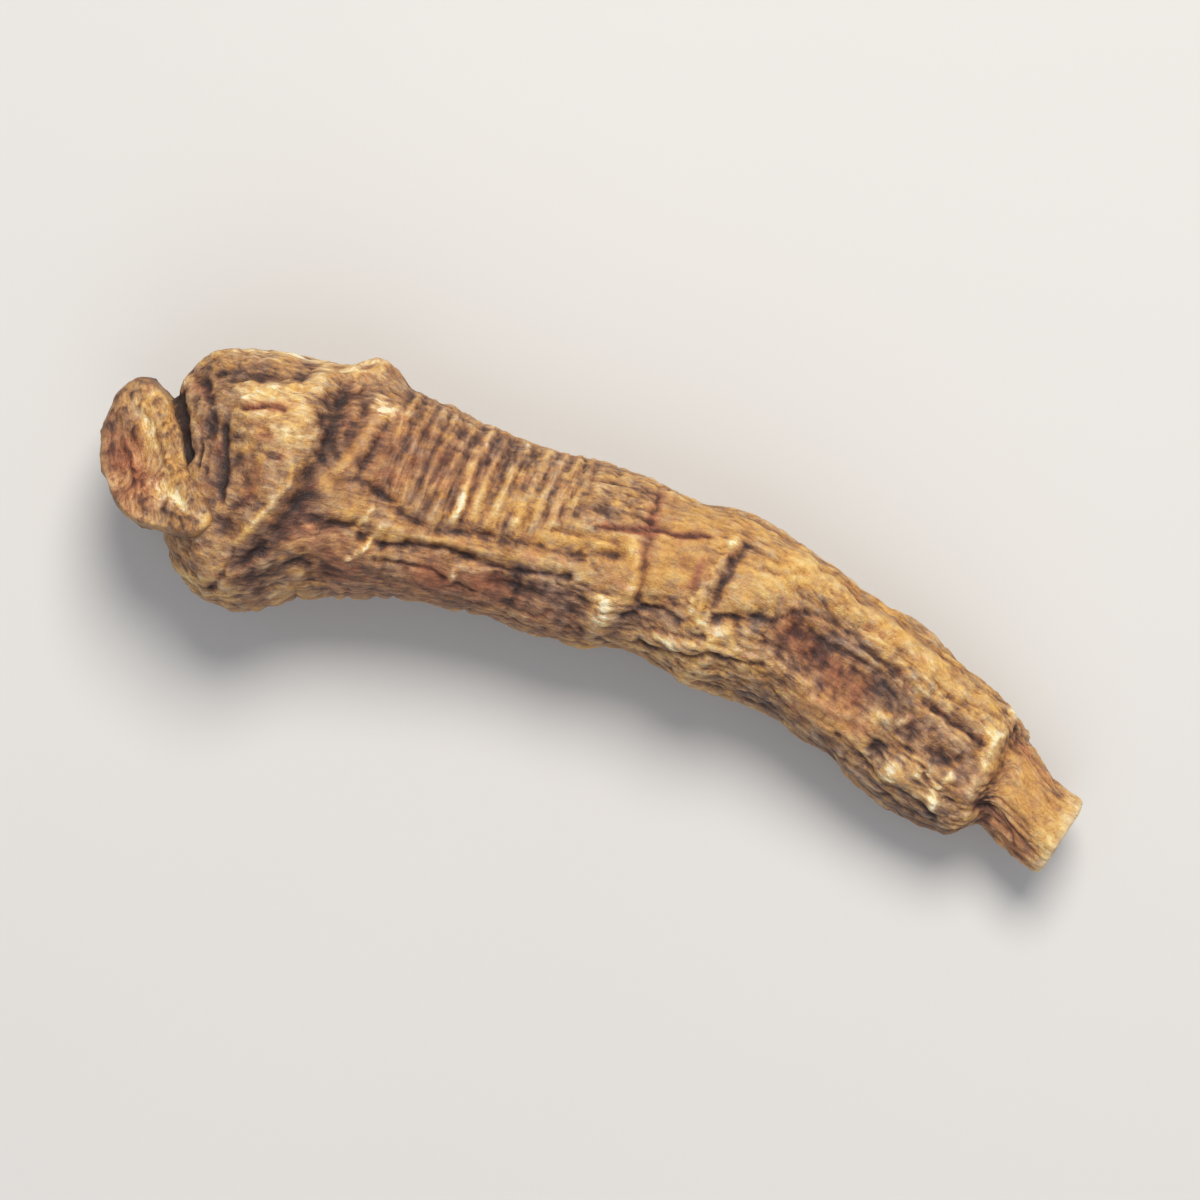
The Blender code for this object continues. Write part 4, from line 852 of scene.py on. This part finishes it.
def fine_relief(straight, upward, x, ringed):
    """Fine skin: folds, creases, thin rings on the neck, lengthwise lines and fibres."""
    up = smooth_step(*WRINKLE_TOP_RANGE, upward)
    broad, narrow = FINE_BENDS
    bend = broad * noise("fine bend", straight) + narrow * noise("finer bend", straight)
    patchy = varied(FINE_PATCHES, noise("fine patches", straight))
    shoulder = 1.0 - smooth_step(*SHOULDER_END, x)
    neck = within(FINE_NECK_SPAN, x)
    past_neck = smooth_step(*FINE_BODY_START, x)
    stub = smooth_step(*FINE_STUB_START, x)
    layers = (
        (SKIN_FOLDS, creases, patchy * (0.55 + 0.4 * shoulder) * (1.0 - 0.7 * stub)),
        (SKIN_CREASES, creases,
         (1.5 - patchy) * (1.0 - 0.8 * stub) * (1.0 - 0.4 * neck) * (1.0 - 0.3 * shoulder)),
        (FINE_LONG_WRINKLES, creases,
         (0.25 + 0.3 * shoulder + 0.75 * past_neck) * (1.0 - 0.6 * neck)),
        (FINE_RINGS, creases, 0.75 * ringed + 0.22 * neck + 0.08),
        (TAIL_FIBRES, creases, 0.12 + 0.22 * smooth_step(*FIBRE_START, x) + 0.9 * stub),
        (SKIN_GRAIN, unfolded, 1.0),
    )
    return layered_relief(layers, SEED + FINE_SEED_STEP, straight, bend, up)


def crown_folds(grid, places, facing_up):
    """Folds on the blunt crown end, deepest on its front and its lower side."""
    near_end = 1.0 - smooth_step(0.0, CROWN_FOLD_REACH, places)[:, None]
    folds = creases(noise("crown folds", grid))
    return CROWN_FOLD_DEPTH * folds * near_end * (1.0 - CROWN_FOLD_TOP_LOSS * facing_up)


def soften(values, times):
    """The values of a grid, averaged with their neighbours a number of times."""
    for _turn in range(times):
        values = (values + np.roll(values, 1, axis=1) + np.roll(values, -1, axis=1)) / 3.0
        padded = np.concatenate([values[:1], values, values[-1:]])
        values = (padded[:-2] + padded[1:-1] + padded[2:]) / 3.0
    return values


def tint_fields(tints, x, y, share):
    """Pale, red, yellow and grey amounts that the named tints give at each place."""
    fields = [np.zeros(x.shape) for _channel in range(4)]
    for _name, *amounts, half_width, points in tints:
        near = np.exp(-(line_distance(points, x, y) / half_width) ** 2) * share
        for field, amount in zip(fields, amounts):
            if amount:
                field += amount * near
    return fields


def relief_painted_shade_fields(relief):
    """How far each place stands out of the skin round it, at two widths: painted shade and light, with
    soil and wear.
    """
    soft = soften(relief, NARROW_TURNS)
    narrow = relief - soft
    narrow = np.where(narrow > 0.0, RIDGE_WEAR_AND_PAINTED_LIGHT_GAIN, CREASE_SOIL_AND_PAINTED_SHADE_GAIN) * narrow
    return {"narrow": narrow, "broad": BROAD_PAINTED_SHADE_GAIN * (soft - soften(soft, BROAD_TURNS))}


def body_skin():
    """Points and faces of the fine body, and what its material reads at each point."""
    places, rows = body_rows()
    starts, dome, crown_pole = crown_dome(places, rows)
    face, cut_pole = cut_face(rows)
    places = np.concatenate([starts, places])
    rows = np.concatenate([dome, rows])
    angles = np.arange(COLUMNS) * (2.0 * math.pi / COLUMNS)
    angles = angles + CROWDING_ON_TOP * np.cos(angles)
    grid = lay_out(rows, angles)
    normals = outward_normals(grid)
    radius = np.linalg.norm(grid - grid.mean(axis=1)[:, None, :], axis=2).mean(axis=1)
    straight = straightened(places, angles, np.full(len(places), NOISE_RADIUS))
    true_straight = straightened(places, angles, radius)
    upward = np.broadcast_to(np.sin(angles), grid.shape[:2])
    x, y = wander(grid)
    facing_up = smooth_step(*FACING_UP_RANGE, upward)
    ridges, grooves = line_relief(LINES + FINE_LINES, x, y, unevenness(grid))
    rings, ringed = ring_relief(grid, straight, angles, upward)
    tints = dict(zip(TINT_NAMES, tint_fields(TINTS, x, y, facing_up)))
    taut = smooth_step(*CALM_RANGE, tints["yellow"])
    calm = smooth_step(*CALM_RANGE, tints["yellow"] + RED_CALM_SHARE * tints["red"])
    lively = (1.0 - CALM_MOTTLING * calm) * (1.0 - HIDDEN_CALM_MOTTLING * (1.0 - facing_up))
    near_cut = smooth_step(places[-1] - CUT_CALM_LENGTH, places[-1], places)[:, None]
    from_pole = smooth_step(-CROWN_DOME_LENGTH, POLE_END, places)[:, None]
    from_pole = POLE_RELIEF + (1.0 - POLE_RELIEF) * from_pole
    fine = fine_relief(true_straight, upward, grid[..., 0], ringed)
    fine = fine * (1.0 - CUT_CALMING * near_cut)
    skin = (wrinkle_relief(straight, upward, grid[..., 0]) * from_pole
            + fine * (POLE_SKIN + (1.0 - POLE_SKIN) * from_pole))
    skin = skin * (1.0 - CALMING * taut) + crown_folds(grid, places, facing_up)
    large = (ridges + grooves) * facing_up + rings + lump_relief(grid, angles)
    grid = grid + normals * (large * from_pole + skin)[..., None]
    # The relief, painted into the skin's tone: painted shade in creases, hollows and ring valleys and
    # painted light on ridges, with soil and wear.
    past_shoulder = smooth_step(*SHOULDER_END, x)
    skin_painted_shade = SHOULDER_SKIN_PAINTED_SHADE + (SKIN_PAINTED_SHADE - SHOULDER_SKIN_PAINTED_SHADE) * past_shoulder
    relief_for_painted_shade = (RIDGE_PAINTED_SHADE * ridges + grooves) * facing_up + RING_PAINTED_SHADE * rings + skin_painted_shade * skin
    looks = relief_painted_shade_fields(relief_for_painted_shade)
    looks.update(tints, ringed=ringed, lively=lively, cut=np.zeros(x.shape))
    rim_relief = grid[-1] - lay_out(rows[-1:], angles)[0]
    cut = [ring + rim_relief * scale for ring, scale in zip(lay_out(face, angles), CUT_FACE_SCALES)]
    cut, cut_looks = roughen_cut(np.array(cut), cut_pole, rows[-1])
    looks = {name: np.concatenate([field, cut_looks[name]]) for name, field in looks.items()}
    cut_radius = radius[-1] * np.array(CUT_FACE_SCALES)
    cut_places = np.full(len(cut), places[-1])
    true_straight = np.concatenate([true_straight, straightened(cut_places, angles, cut_radius)])
    points, faces = close_grid(np.concatenate([grid, cut]), crown_pole, cut_pole)
    values = {name: close_values(field) for name, field in looks.items()}
    return points, faces, close_values(true_straight), values


def straightened(places, angles, radius):
    """The body laid out straight: the place along it, then across it, at the given radius."""
    shape = (len(places), len(angles))
    return np.dstack([
        np.broadcast_to(places[:, None], shape),
        radius[:, None] * np.cos(angles),
        radius[:, None] * np.sin(angles),
    ])


def close_values(field):
    """Values of a grid in the order of its closed mesh's points, poles included."""
    flat = field.reshape(-1, *field.shape[2:])
    return np.concatenate([field[:1, 0], flat, field[-1:, 0]])


def roughen_cut(rings, cut_pole, last_row):
    """The rings of the cut, laid into the upright plane through its middle and roughened."""
    half = (last_row[0:2] - last_row[2:4]) / 2.0
    outward = np.array([half[1], -half[0], 0.0]) / np.linalg.norm(half)
    off_plane = (rings - cut_pole) @ outward
    rings = rings - off_plane[..., None] * outward
    scales = np.array(CUT_FACE_SCALES)[:, None]
    into_rim = np.clip((scales - CUT_RIM_SCALE) / (1.0 - CUT_RIM_SCALE), 0.0, 1.0)
    rounding = CUT_RIM_ROUNDING * (1.0 - np.sqrt(1.0 - into_rim ** 2))
    rough = (CUT_ROUGHNESS * noise("cut", rings)
             + 0.5 * CUT_ROUGHNESS * creases(noise("cut creases", rings)))
    rough *= 1.0 - scales ** 6
    looks = {name: np.zeros(rough.shape) for name in ("ringed", "red", "yellow", "grey", "broad")}
    looks["lively"] = np.ones(rough.shape)
    looks["cut"] = np.ones(rough.shape) * (1.0 - CUT_RIM_SKIN * into_rim)
    # The cut's roughness, painted into its tone as painted shade.
    looks["narrow"] = CUT_PAINTED_SHADE_GAIN * rough
    dark_ring = CUT_DARK_RING * np.exp(-((scales - CUT_RING_PLACE) / CUT_RING_WIDTH) ** 2)
    pale_rim = CUT_PALE_RIM * smooth_step(*CUT_PALE_START, scales)
    looks["pale"] = (pale_rim - dark_ring) * np.ones(rough.shape)
    return rings + (rough - rounding)[..., None] * outward, looks


def close_grid(grid, first_pole, last_pole):
    """Points and faces of a grid that is closed round its columns and at both ends."""
    rows, columns = grid.shape[:2]
    points = np.concatenate([[first_pole], grid.reshape(-1, 3), [last_pole]])
    column = np.arange(columns)
    after = (column + 1) % columns
    starts = 1 + np.arange(rows - 1)[:, None] * columns
    quads = np.stack([starts + column, starts + after, starts + columns + after,
                      starts + columns + column], axis=-1).reshape(-1, 4)
    last = len(points) - 1
    end = 1 + (rows - 1) * columns
    caps = np.concatenate([
        np.stack([np.zeros(columns, int), 1 + after, 1 + column], axis=-1),
        np.stack([np.full(columns, last), end + column, end + after], axis=-1),
    ])
    return points, [tuple(face) for face in quads.tolist()] + [tuple(face) for face in caps.tolist()]


def knob_outline(steps):
    """The knob's rim, seen from above."""
    corners = len(KNOB_RIM)
    wrapped = np.array(KNOB_RIM[-2:] + KNOB_RIM + KNOB_RIM[:3])
    places = np.linspace(0.0, corners, steps, endpoint=False)
    return read_curve(np.arange(-2.0, corners + 3.0), wrapped, places)


def knob_plane_height(plan):
    """Height of the sloping plane through the rim."""
    return KNOB_CENTRE[2] + (plan - np.array(KNOB_CENTRE[:2])) @ np.array(KNOB_RIM_SLOPE)


def knob_face_height(plan, scale):
    """Height of the knob's face: a hollow scar inside a raised lip."""
    away = np.linalg.norm(plan - np.array(SCAR_CENTRE), axis=1)
    hollow = SCAR_DEPTH * np.exp(-(away / SCAR_HALF_WIDTH) ** 2)
    lip = KNOB_LIP_HEIGHT * math.sin(math.pi * max(scale, 0.5))
    return knob_plane_height(plan) - hollow + lip


def knob_rings():
    """The knob's rings, from the middle of its scar to its buried foot."""
    outline = knob_outline(KNOB_STEPS_ROUND)
    centre = np.array(KNOB_CENTRE)
    foot = np.array(KNOB_FOOT)
    rings = []
    for scale in KNOB_FACE_SCALES:
        plan = centre[:2] + (outline - centre[:2]) * scale
        rings.append(np.column_stack([plan, knob_face_height(plan, scale)]))
    for drop, toward_foot, scale in KNOB_WALL:
        plan = centre[:2] + (outline - centre[:2]) * scale
        ring = np.column_stack([plan, knob_plane_height(plan) - drop])
        sunk = foot - centre + (0.0, 0.0, drop)
        rings.append(ring + sunk * toward_foot)
    rings = np.array(rings)
    places = np.linspace(0.0, len(rings) - 1.0, KNOB_STEPS_DOWN)
    fine = read_curve(np.arange(float(len(rings))), rings.reshape(len(rings), -1), places)
    return fine.reshape(KNOB_STEPS_DOWN, KNOB_STEPS_ROUND, 3)


def knob_skin():
    """Points and faces of the fine knob, and what its material reads at each point."""
    grid = knob_rings()
    down = np.linspace(0.0, 1.0, KNOB_STEPS_DOWN)[:, None] * np.ones(KNOB_STEPS_ROUND)
    rim = (len(KNOB_FACE_SCALES) - 1.0) / (len(KNOB_FACE_SCALES) + len(KNOB_WALL) - 1.0)
    on_face = 1.0 - smooth_step(*KNOB_FACE_END, down)
    below_rim = (down - rim - KNOB_CALM_OFFSET) / KNOB_CALM_WIDTH
    off_rim = 1.0 - KNOB_RIM_CALMING * np.exp(-below_rim ** 2)
    normals = soften(outward_normals(grid), KNOB_NORMAL_TURNS)
    x, y = wander(grid)
    relief = KNOB_ROUGHNESS * noise("knob", grid)
    ridges, grooves = line_relief(KNOB_LINES, x, y, unevenness(grid))
    relief += (ridges + grooves) * on_face
    fold_depth = (KNOB_WALL_FOLD + (KNOB_FACE_FOLD - KNOB_WALL_FOLD) * on_face) * off_rim
    relief += fold_depth * creases(noise("knob folds", grid))
    relief += KNOB_CREASE * creases(noise("knob creases", grid))
    relief += SKIN_GRAIN[2] * noise("knob grain", grid)
    relief = relief * smooth_step(0.0, KNOB_SMOOTH_MIDDLE, down)
    grid = grid + normals * relief[..., None]
    # The knob's relief, painted into its tone: painted shade in its folds and painted light on its
    # ridges, with soil and wear.
    looks = relief_painted_shade_fields(relief)
    looks["ringed"] = np.zeros(x.shape)
    looks["lively"] = 1.0 - HIDDEN_CALM_MOTTLING * (1.0 - on_face)
    looks["cut"] = np.zeros(x.shape)
    for name, field in zip(TINT_NAMES, tint_fields(KNOB_TINTS, x, y, on_face)):
        looks[name] = field
    foot = np.array(KNOB_FOOT) + (0.0, 0.0, -KNOB_FOOT_DROP)
    points, faces = close_grid(grid, grid[0].mean(axis=0), foot)
    values = {name: close_values(field) for name, field in looks.items()}
    turn = Matrix.Rotation(math.radians(KNOB_GRAIN_DEGREES), 3, "Z")
    return points, faces, points @ np.array(turn), values


def settle(body_points, knob_points):
    """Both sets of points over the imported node, with the belly pressed flat at z = 0."""
    low, high = (np.array(corner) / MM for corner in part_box(NODE))
    both = np.concatenate([body_points, knob_points])
    middle = (both[:, :2].min(axis=0) + both[:, :2].max(axis=0)) / 2.0
    shift = np.array([*(middle - (low[:2] + high[:2]) / 2.0), 0.0])
    body_points = body_points - shift
    body_points[:, 2] = np.maximum(body_points[:, 2], 0.0)
    return body_points, knob_points - shift


def add_mesh(name, points, faces):
    """A new object with smooth shading, made from points in millimetres."""
    mesh = bpy.data.meshes.new(name)
    mesh.from_pydata((points * MM).tolist(), [], faces)
    mesh.shade_smooth()
    item = bpy.data.objects.new(name, mesh)
    bpy.context.scene.collection.objects.link(item)
    return item


def join(item, other):
    """Joins other into item by a Boolean union, which is applied, and removes other."""
    union = item.modifiers.new("union", "BOOLEAN")
    union.operation = "UNION"
    union.solver = "MANIFOLD"
    union.object = other
    with bpy.context.temp_override(object=item, active_object=item, selected_objects=[item]):
        bpy.ops.object.modifier_apply(modifier=union.name)
    bpy.data.objects.remove(other, do_unlink=True)


def write_values(item, source_points, straight, values):
    """Stores at each point of the item what the nearest source point has."""
    tree = kdtree.KDTree(len(source_points))
    for number, point in enumerate((source_points * MM).tolist()):
        tree.insert(point, number)
    tree.balance()
    mesh = item.data
    nearest = np.array([tree.find(vertex.co)[1] for vertex in mesh.vertices])
    along = mesh.attributes.new("straight", "FLOAT_VECTOR", "POINT")
    along.data.foreach_set("vector", straight[nearest].astype(np.float32).ravel())
    for name, field in values.items():
        stored = mesh.attributes.new(name, "FLOAT", "POINT")
        stored.data.foreach_set("value", field[nearest].astype(np.float32))


def linear(shade):
    """An sRGB shade from 0 to 255 as a linear colour."""
    parts = [value / 255.0 for value in shade]
    parts = [part / 12.92 if part <= 0.04045 else ((part + 0.055) / 1.055) ** 2.4 for part in parts]
    return (*parts, 1.0)


class Graph:
    """Short calls for building a material's nodes."""

    def __init__(self, name):
        self.material = bpy.data.materials.new(name)
        self.material.use_nodes = True
        self.tree = self.material.node_tree
        self.shader = self.tree.nodes["Principled BSDF"]

    def feed(self, socket, value):
        """Links an output to the socket, or sets a plain value on it."""
        if isinstance(value, bpy.types.NodeSocket):
            self.tree.links.new(value, socket)
        else:
            socket.default_value = value

    def attribute(self, name, output="Fac"):
        """A value stored at each point of the mesh."""
        reader = self.tree.nodes.new("ShaderNodeAttribute")
        reader.attribute_name = name
        return reader.outputs[output]

    def scaled(self, vector, scale):
        """The coordinates, scaled along each axis."""
        mapping = self.tree.nodes.new("ShaderNodeMapping")
        self.feed(mapping.inputs["Vector"], vector)
        mapping.inputs["Scale"].default_value = scale
        return mapping.outputs["Vector"]

    def noise(self, vector, scale, detail=4.0, roughness=0.6, distortion=0.0):
        """Fractal noise from 0 to 1, read at scaled coordinates."""
        maker = self.tree.nodes.new("ShaderNodeTexNoise")
        self.feed(maker.inputs["Vector"], self.scaled(vector, scale))
        maker.inputs["Scale"].default_value = 1.0
        maker.inputs["Detail"].default_value = detail
        maker.inputs["Roughness"].default_value = roughness
        maker.inputs["Distortion"].default_value = distortion
        return maker.outputs["Fac"]

    def maths(self, operation, first, second=0.0, clamp=False):
        """One sum of two values."""
        worker = self.tree.nodes.new("ShaderNodeMath")
        worker.operation = operation
        worker.use_clamp = clamp
        self.feed(worker.inputs[0], first)
        self.feed(worker.inputs[1], second)
        return worker.outputs[0]

    def spread(self, value, low, high, to_low=0.0, to_high=1.0):
        """The value, moved from one range to another and held inside it."""
        mover = self.tree.nodes.new("ShaderNodeMapRange")
        self.feed(mover.inputs["Value"], value)
        mover.inputs["From Min"].default_value = low
        mover.inputs["From Max"].default_value = high
        mover.inputs["To Min"].default_value = to_low
        mover.inputs["To Max"].default_value = to_high
        return mover.outputs["Result"]

    def blend(self, share, first, second, mode="MIX"):
        """Two colours, mixed by a share."""
        mixer = self.tree.nodes.new("ShaderNodeMix")
        mixer.data_type = "RGBA"
        mixer.blend_type = mode
        self.feed(mixer.inputs["Factor"], share)
        self.feed(mixer.inputs["A"], first)
        self.feed(mixer.inputs["B"], second)
        return mixer.outputs["Result"]

    def ramp(self, value, stops):
        """The value, turned into a colour."""
        stops = list(stops)
        maker = self.tree.nodes.new("ShaderNodeValToRGB")
        self.feed(maker.inputs["Fac"], value)
        elements = maker.color_ramp.elements
        while len(elements) < len(stops):
            elements.new(0.5)
        for element, (place, shade) in zip(elements, stops):
            element.position = place
            element.color = linear(shade)
        return maker.outputs["Color"]

    def bump(self, height, distance, strength, under=None):
        """Small relief in the shading."""
        maker = self.tree.nodes.new("ShaderNodeBump")
        maker.inputs["Distance"].default_value = distance
        maker.inputs["Strength"].default_value = strength
        self.feed(maker.inputs["Height"], height)
        if under is not None:
            self.feed(maker.inputs["Normal"], under)
        return maker.outputs["Normal"]


def total(graph, first, *others):
    """The sum of several values."""
    for other in others:
        first = graph.maths("ADD", first, other)
    return first


def swing(graph, values, amount):
    """Noise, spread between minus and plus the amount."""
    return graph.spread(values, *NOISE_RANGE, -amount, amount)


def skin_tone(graph, straight, specks):
    """How pale the skin is, from 0 to 1: painted shade and light from its relief, with soil and wear,
    its painted tints and noise.
    """
    flecks = graph.noise(straight, *SKIN_NOISES["flecks"])
    ringed = graph.attribute("ringed")
    unringed = graph.maths("SUBTRACT", 1.0, ringed)
    streaks = swing(graph, graph.noise(straight, *SKIN_NOISES["streaks"]), STREAK_SWING)
    hoops = swing(graph, graph.noise(straight, *SKIN_NOISES["hoops"]), HOOP_SWING)
    mottling = total(
        graph,
        swing(graph, graph.noise(straight, *SKIN_NOISES["mottle"]), MOTTLE_SWING),
        swing(graph, flecks, FLECK_SWING),
        graph.maths("MULTIPLY", unringed, streaks),
        graph.maths("MULTIPLY", ringed, hoops),
    )
    pale_share = graph.spread(flecks, 0.36, 0.62, 0.35, 1.1)
    # The relief fields here are painted shade and painted light, with soil and wear.
    return total(
        graph,
        PLAIN_TONE,
        graph.attribute("narrow"),
        graph.attribute("broad"),
        graph.maths("MULTIPLY", graph.attribute("pale"), pale_share),
        graph.maths("MULTIPLY", mottling, graph.attribute("lively")),
        swing(graph, specks, SPECK_SWING),
    )


def skin_colour(graph, straight, tone):
    """The tone as a colour: brown, with yellow, grey and red patches."""
    patches = graph.noise(straight, *SKIN_NOISES["patches"])
    hues = graph.noise(straight, *SKIN_NOISES["hues"])
    warmth = graph.noise(straight, *SKIN_NOISES["warmth"])
    yellow = total(
        graph,
        graph.maths("MULTIPLY", graph.attribute("yellow"), 1.1),
        graph.spread(patches, 0.45, 0.65, 0.0, 0.5),
        graph.spread(hues, 0.5, 0.68, 0.0, 0.7),
    )
    grey = total(
        graph,
        graph.attribute("grey"),
        graph.spread(patches, 0.53, 0.35, 0.0, 0.35),
        graph.maths("MULTIPLY", graph.spread(hues, 0.47, 0.33, 0.0, 0.7), graph.attribute("lively")),
    )
    red = total(
        graph,
        graph.maths("MULTIPLY", graph.attribute("red"), graph.spread(warmth, 0.3, 0.55, 0.5, 1.2)),
        graph.spread(warmth, 0.54, 0.70, 0.0, 0.6),
    )
    colour = graph.ramp(tone, zip(SHADE_PLACES, BROWN_SHADES))
    for share, shades in ((yellow, YELLOW_SHADES), (grey, GREY_SHADES), (red, RED_SHADES)):
        held = graph.maths("MULTIPLY", share, 1.0, clamp=True)
        colour = graph.blend(held, colour, graph.ramp(tone, zip(SHADE_PLACES, shades)))
    return colour


def skin_material():
    """Dried skin: pale where it stands out and dark in the folds, as wear, soil and painted shade, red
    and yellow in patches.
    """
    graph = Graph("dried_root_skin")
    straight = graph.attribute("straight", "Vector")
    specks = graph.noise(straight, *SKIN_NOISES["specks"])
    colour = skin_colour(graph, straight, skin_tone(graph, straight, specks))
    pith = graph.noise(straight, *SKIN_NOISES["pith"])
    # On the cut, the colour takes in the cut's painted shade and its pale rim.
    pith = total(graph, pith, graph.attribute("pale"), graph.attribute("narrow"))
    colour = graph.blend(graph.attribute("cut"), colour, graph.ramp(pith, CUT_SHADES))
    graph.feed(graph.shader.inputs["Base Color"], colour)
    gloss = graph.spread(specks, *NOISE_RANGE, *SKIN_ROUGHNESS)
    graph.feed(graph.shader.inputs["Roughness"], gloss)
    graph.shader.inputs["Specular IOR Level"].default_value = SKIN_SPECULAR
    normal = None
    for name, (depth, strength) in BUMPS.items():
        height = graph.noise(straight, *SKIN_NOISES[name])
        if name == "crinkle":
            height = graph.maths("ABSOLUTE", graph.maths("SUBTRACT", height, 0.5))
        normal = graph.bump(height, depth, strength, normal)
    graph.feed(graph.shader.inputs["Normal"], normal)
    return graph.material


def build_skin():
    """The fine skin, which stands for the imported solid."""
    body_points, body_faces, body_straight, body_values = body_skin()
    knob_points, knob_faces, knob_straight, knob_values = knob_skin()
    body_points, knob_points = settle(body_points, knob_points)
    skin = add_mesh("root_skin", body_points, body_faces)
    knob = add_mesh("knob_skin", knob_points, knob_faces)
    join(skin, knob)
    values = {name: np.concatenate([body_values[name], knob_values[name]]) for name in body_values}
    write_values(skin, np.concatenate([body_points, knob_points]),
                 np.concatenate([body_straight, knob_straight]), values)
    skin.data.materials.clear()
    skin.data.materials.append(skin_material())
    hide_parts(NODE)
    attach(skin, "root")


def floor_material():
    """A plain pale surface."""
    graph = Graph("pale_floor")
    straight = graph.tree.nodes.new("ShaderNodeTexCoord").outputs["Object"]
    cloud = graph.noise(straight, *FLOOR_NOISE)
    pale = linear(FLOOR_SHADE)
    darker = linear([value - FLOOR_MOTTLING for value in FLOOR_SHADE])
    graph.feed(graph.shader.inputs["Base Color"], graph.blend(cloud, pale, darker))
    graph.shader.inputs["Roughness"].default_value = FLOOR_ROUGHNESS
    return graph.material


def build_floor():
    """The plain floor under the root."""
    half = FLOOR_HALF_SIZE_M
    corners = [(-half, -half, 0.0), (half, -half, 0.0), (half, half, 0.0), (-half, half, 0.0)]
    mesh = bpy.data.meshes.new("floor")
    mesh.from_pydata(corners, [], [(0, 1, 2, 3)])
    floor = bpy.data.objects.new("floor", mesh)
    floor.data.materials.append(floor_material())
    floor.location.z = -FLOOR_DROP_M
    bpy.context.scene.collection.objects.link(floor)


def photo_up():
    """The direction in plan that is up in the picture."""
    turn = math.radians(PHOTO_ROLL_DEGREES)
    return Vector((-math.sin(turn), math.cos(turn), 0.0))


def build_camera():
    """A camera that looks down on the root, turned as in the photograph."""
    data = bpy.data.cameras.new("camera")
    data.lens = CAMERA_LENS
    data.sensor_width = CAMERA_SENSOR
    data.clip_start, data.clip_end = CAMERA_CLIP_M
    camera = bpy.data.objects.new("camera", data)
    bpy.context.scene.collection.objects.link(camera)
    low, high = CAD_BOUNDS
    target = (low + high) / 2.0
    up = photo_up()
    tilt = math.radians(CAMERA_TILT_DEGREES)
    back = Vector((0.0, 0.0, 1.0)) * math.cos(tilt) - up * math.sin(tilt)
    side = up.cross(back).normalized()
    over = back.cross(side)
    camera.location = target + back * CAMERA_DISTANCE_M
    camera.rotation_mode = "QUATERNION"
    columns = (side, over, back)
    rotation = [[column[row] for column in columns] for row in range(3)]
    camera.rotation_quaternion = Matrix(rotation).to_quaternion()
    bpy.context.scene.camera = camera


def build_lights():
    """A broad soft light from the picture's upper edge, a weaker fill and a pale sky."""
    up = photo_up()
    for name, up_picture, shift, width, power, shade in LAMPS:
        add_lamp(name, up * up_picture + Vector(shift), width, power, shade)
    world = bpy.data.worlds.new("pale_sky")
    world.use_nodes = True
    background = world.node_tree.nodes["Background"]
    background.inputs["Color"].default_value = linear(SKY_SHADE)
    background.inputs["Strength"].default_value = SKY_STRENGTH
    bpy.context.scene.world = world


def add_lamp(name, place, size, power, shade):
    """A round area lamp that faces the root."""
    lamp = bpy.data.lights.new(name, "AREA")
    lamp.shape = "DISK"
    lamp.size = size
    lamp.energy = power
    lamp.color = linear(shade)[:3]
    item = bpy.data.objects.new(name, lamp)
    item.location = place
    item.rotation_mode = "QUATERNION"
    item.rotation_quaternion = Vector(place).to_track_quat("Z", "Y")
    bpy.context.scene.collection.objects.link(item)


build_camera()
build_lights()
build_floor()
build_skin()
bpy.context.scene.view_settings.view_transform = "Standard"
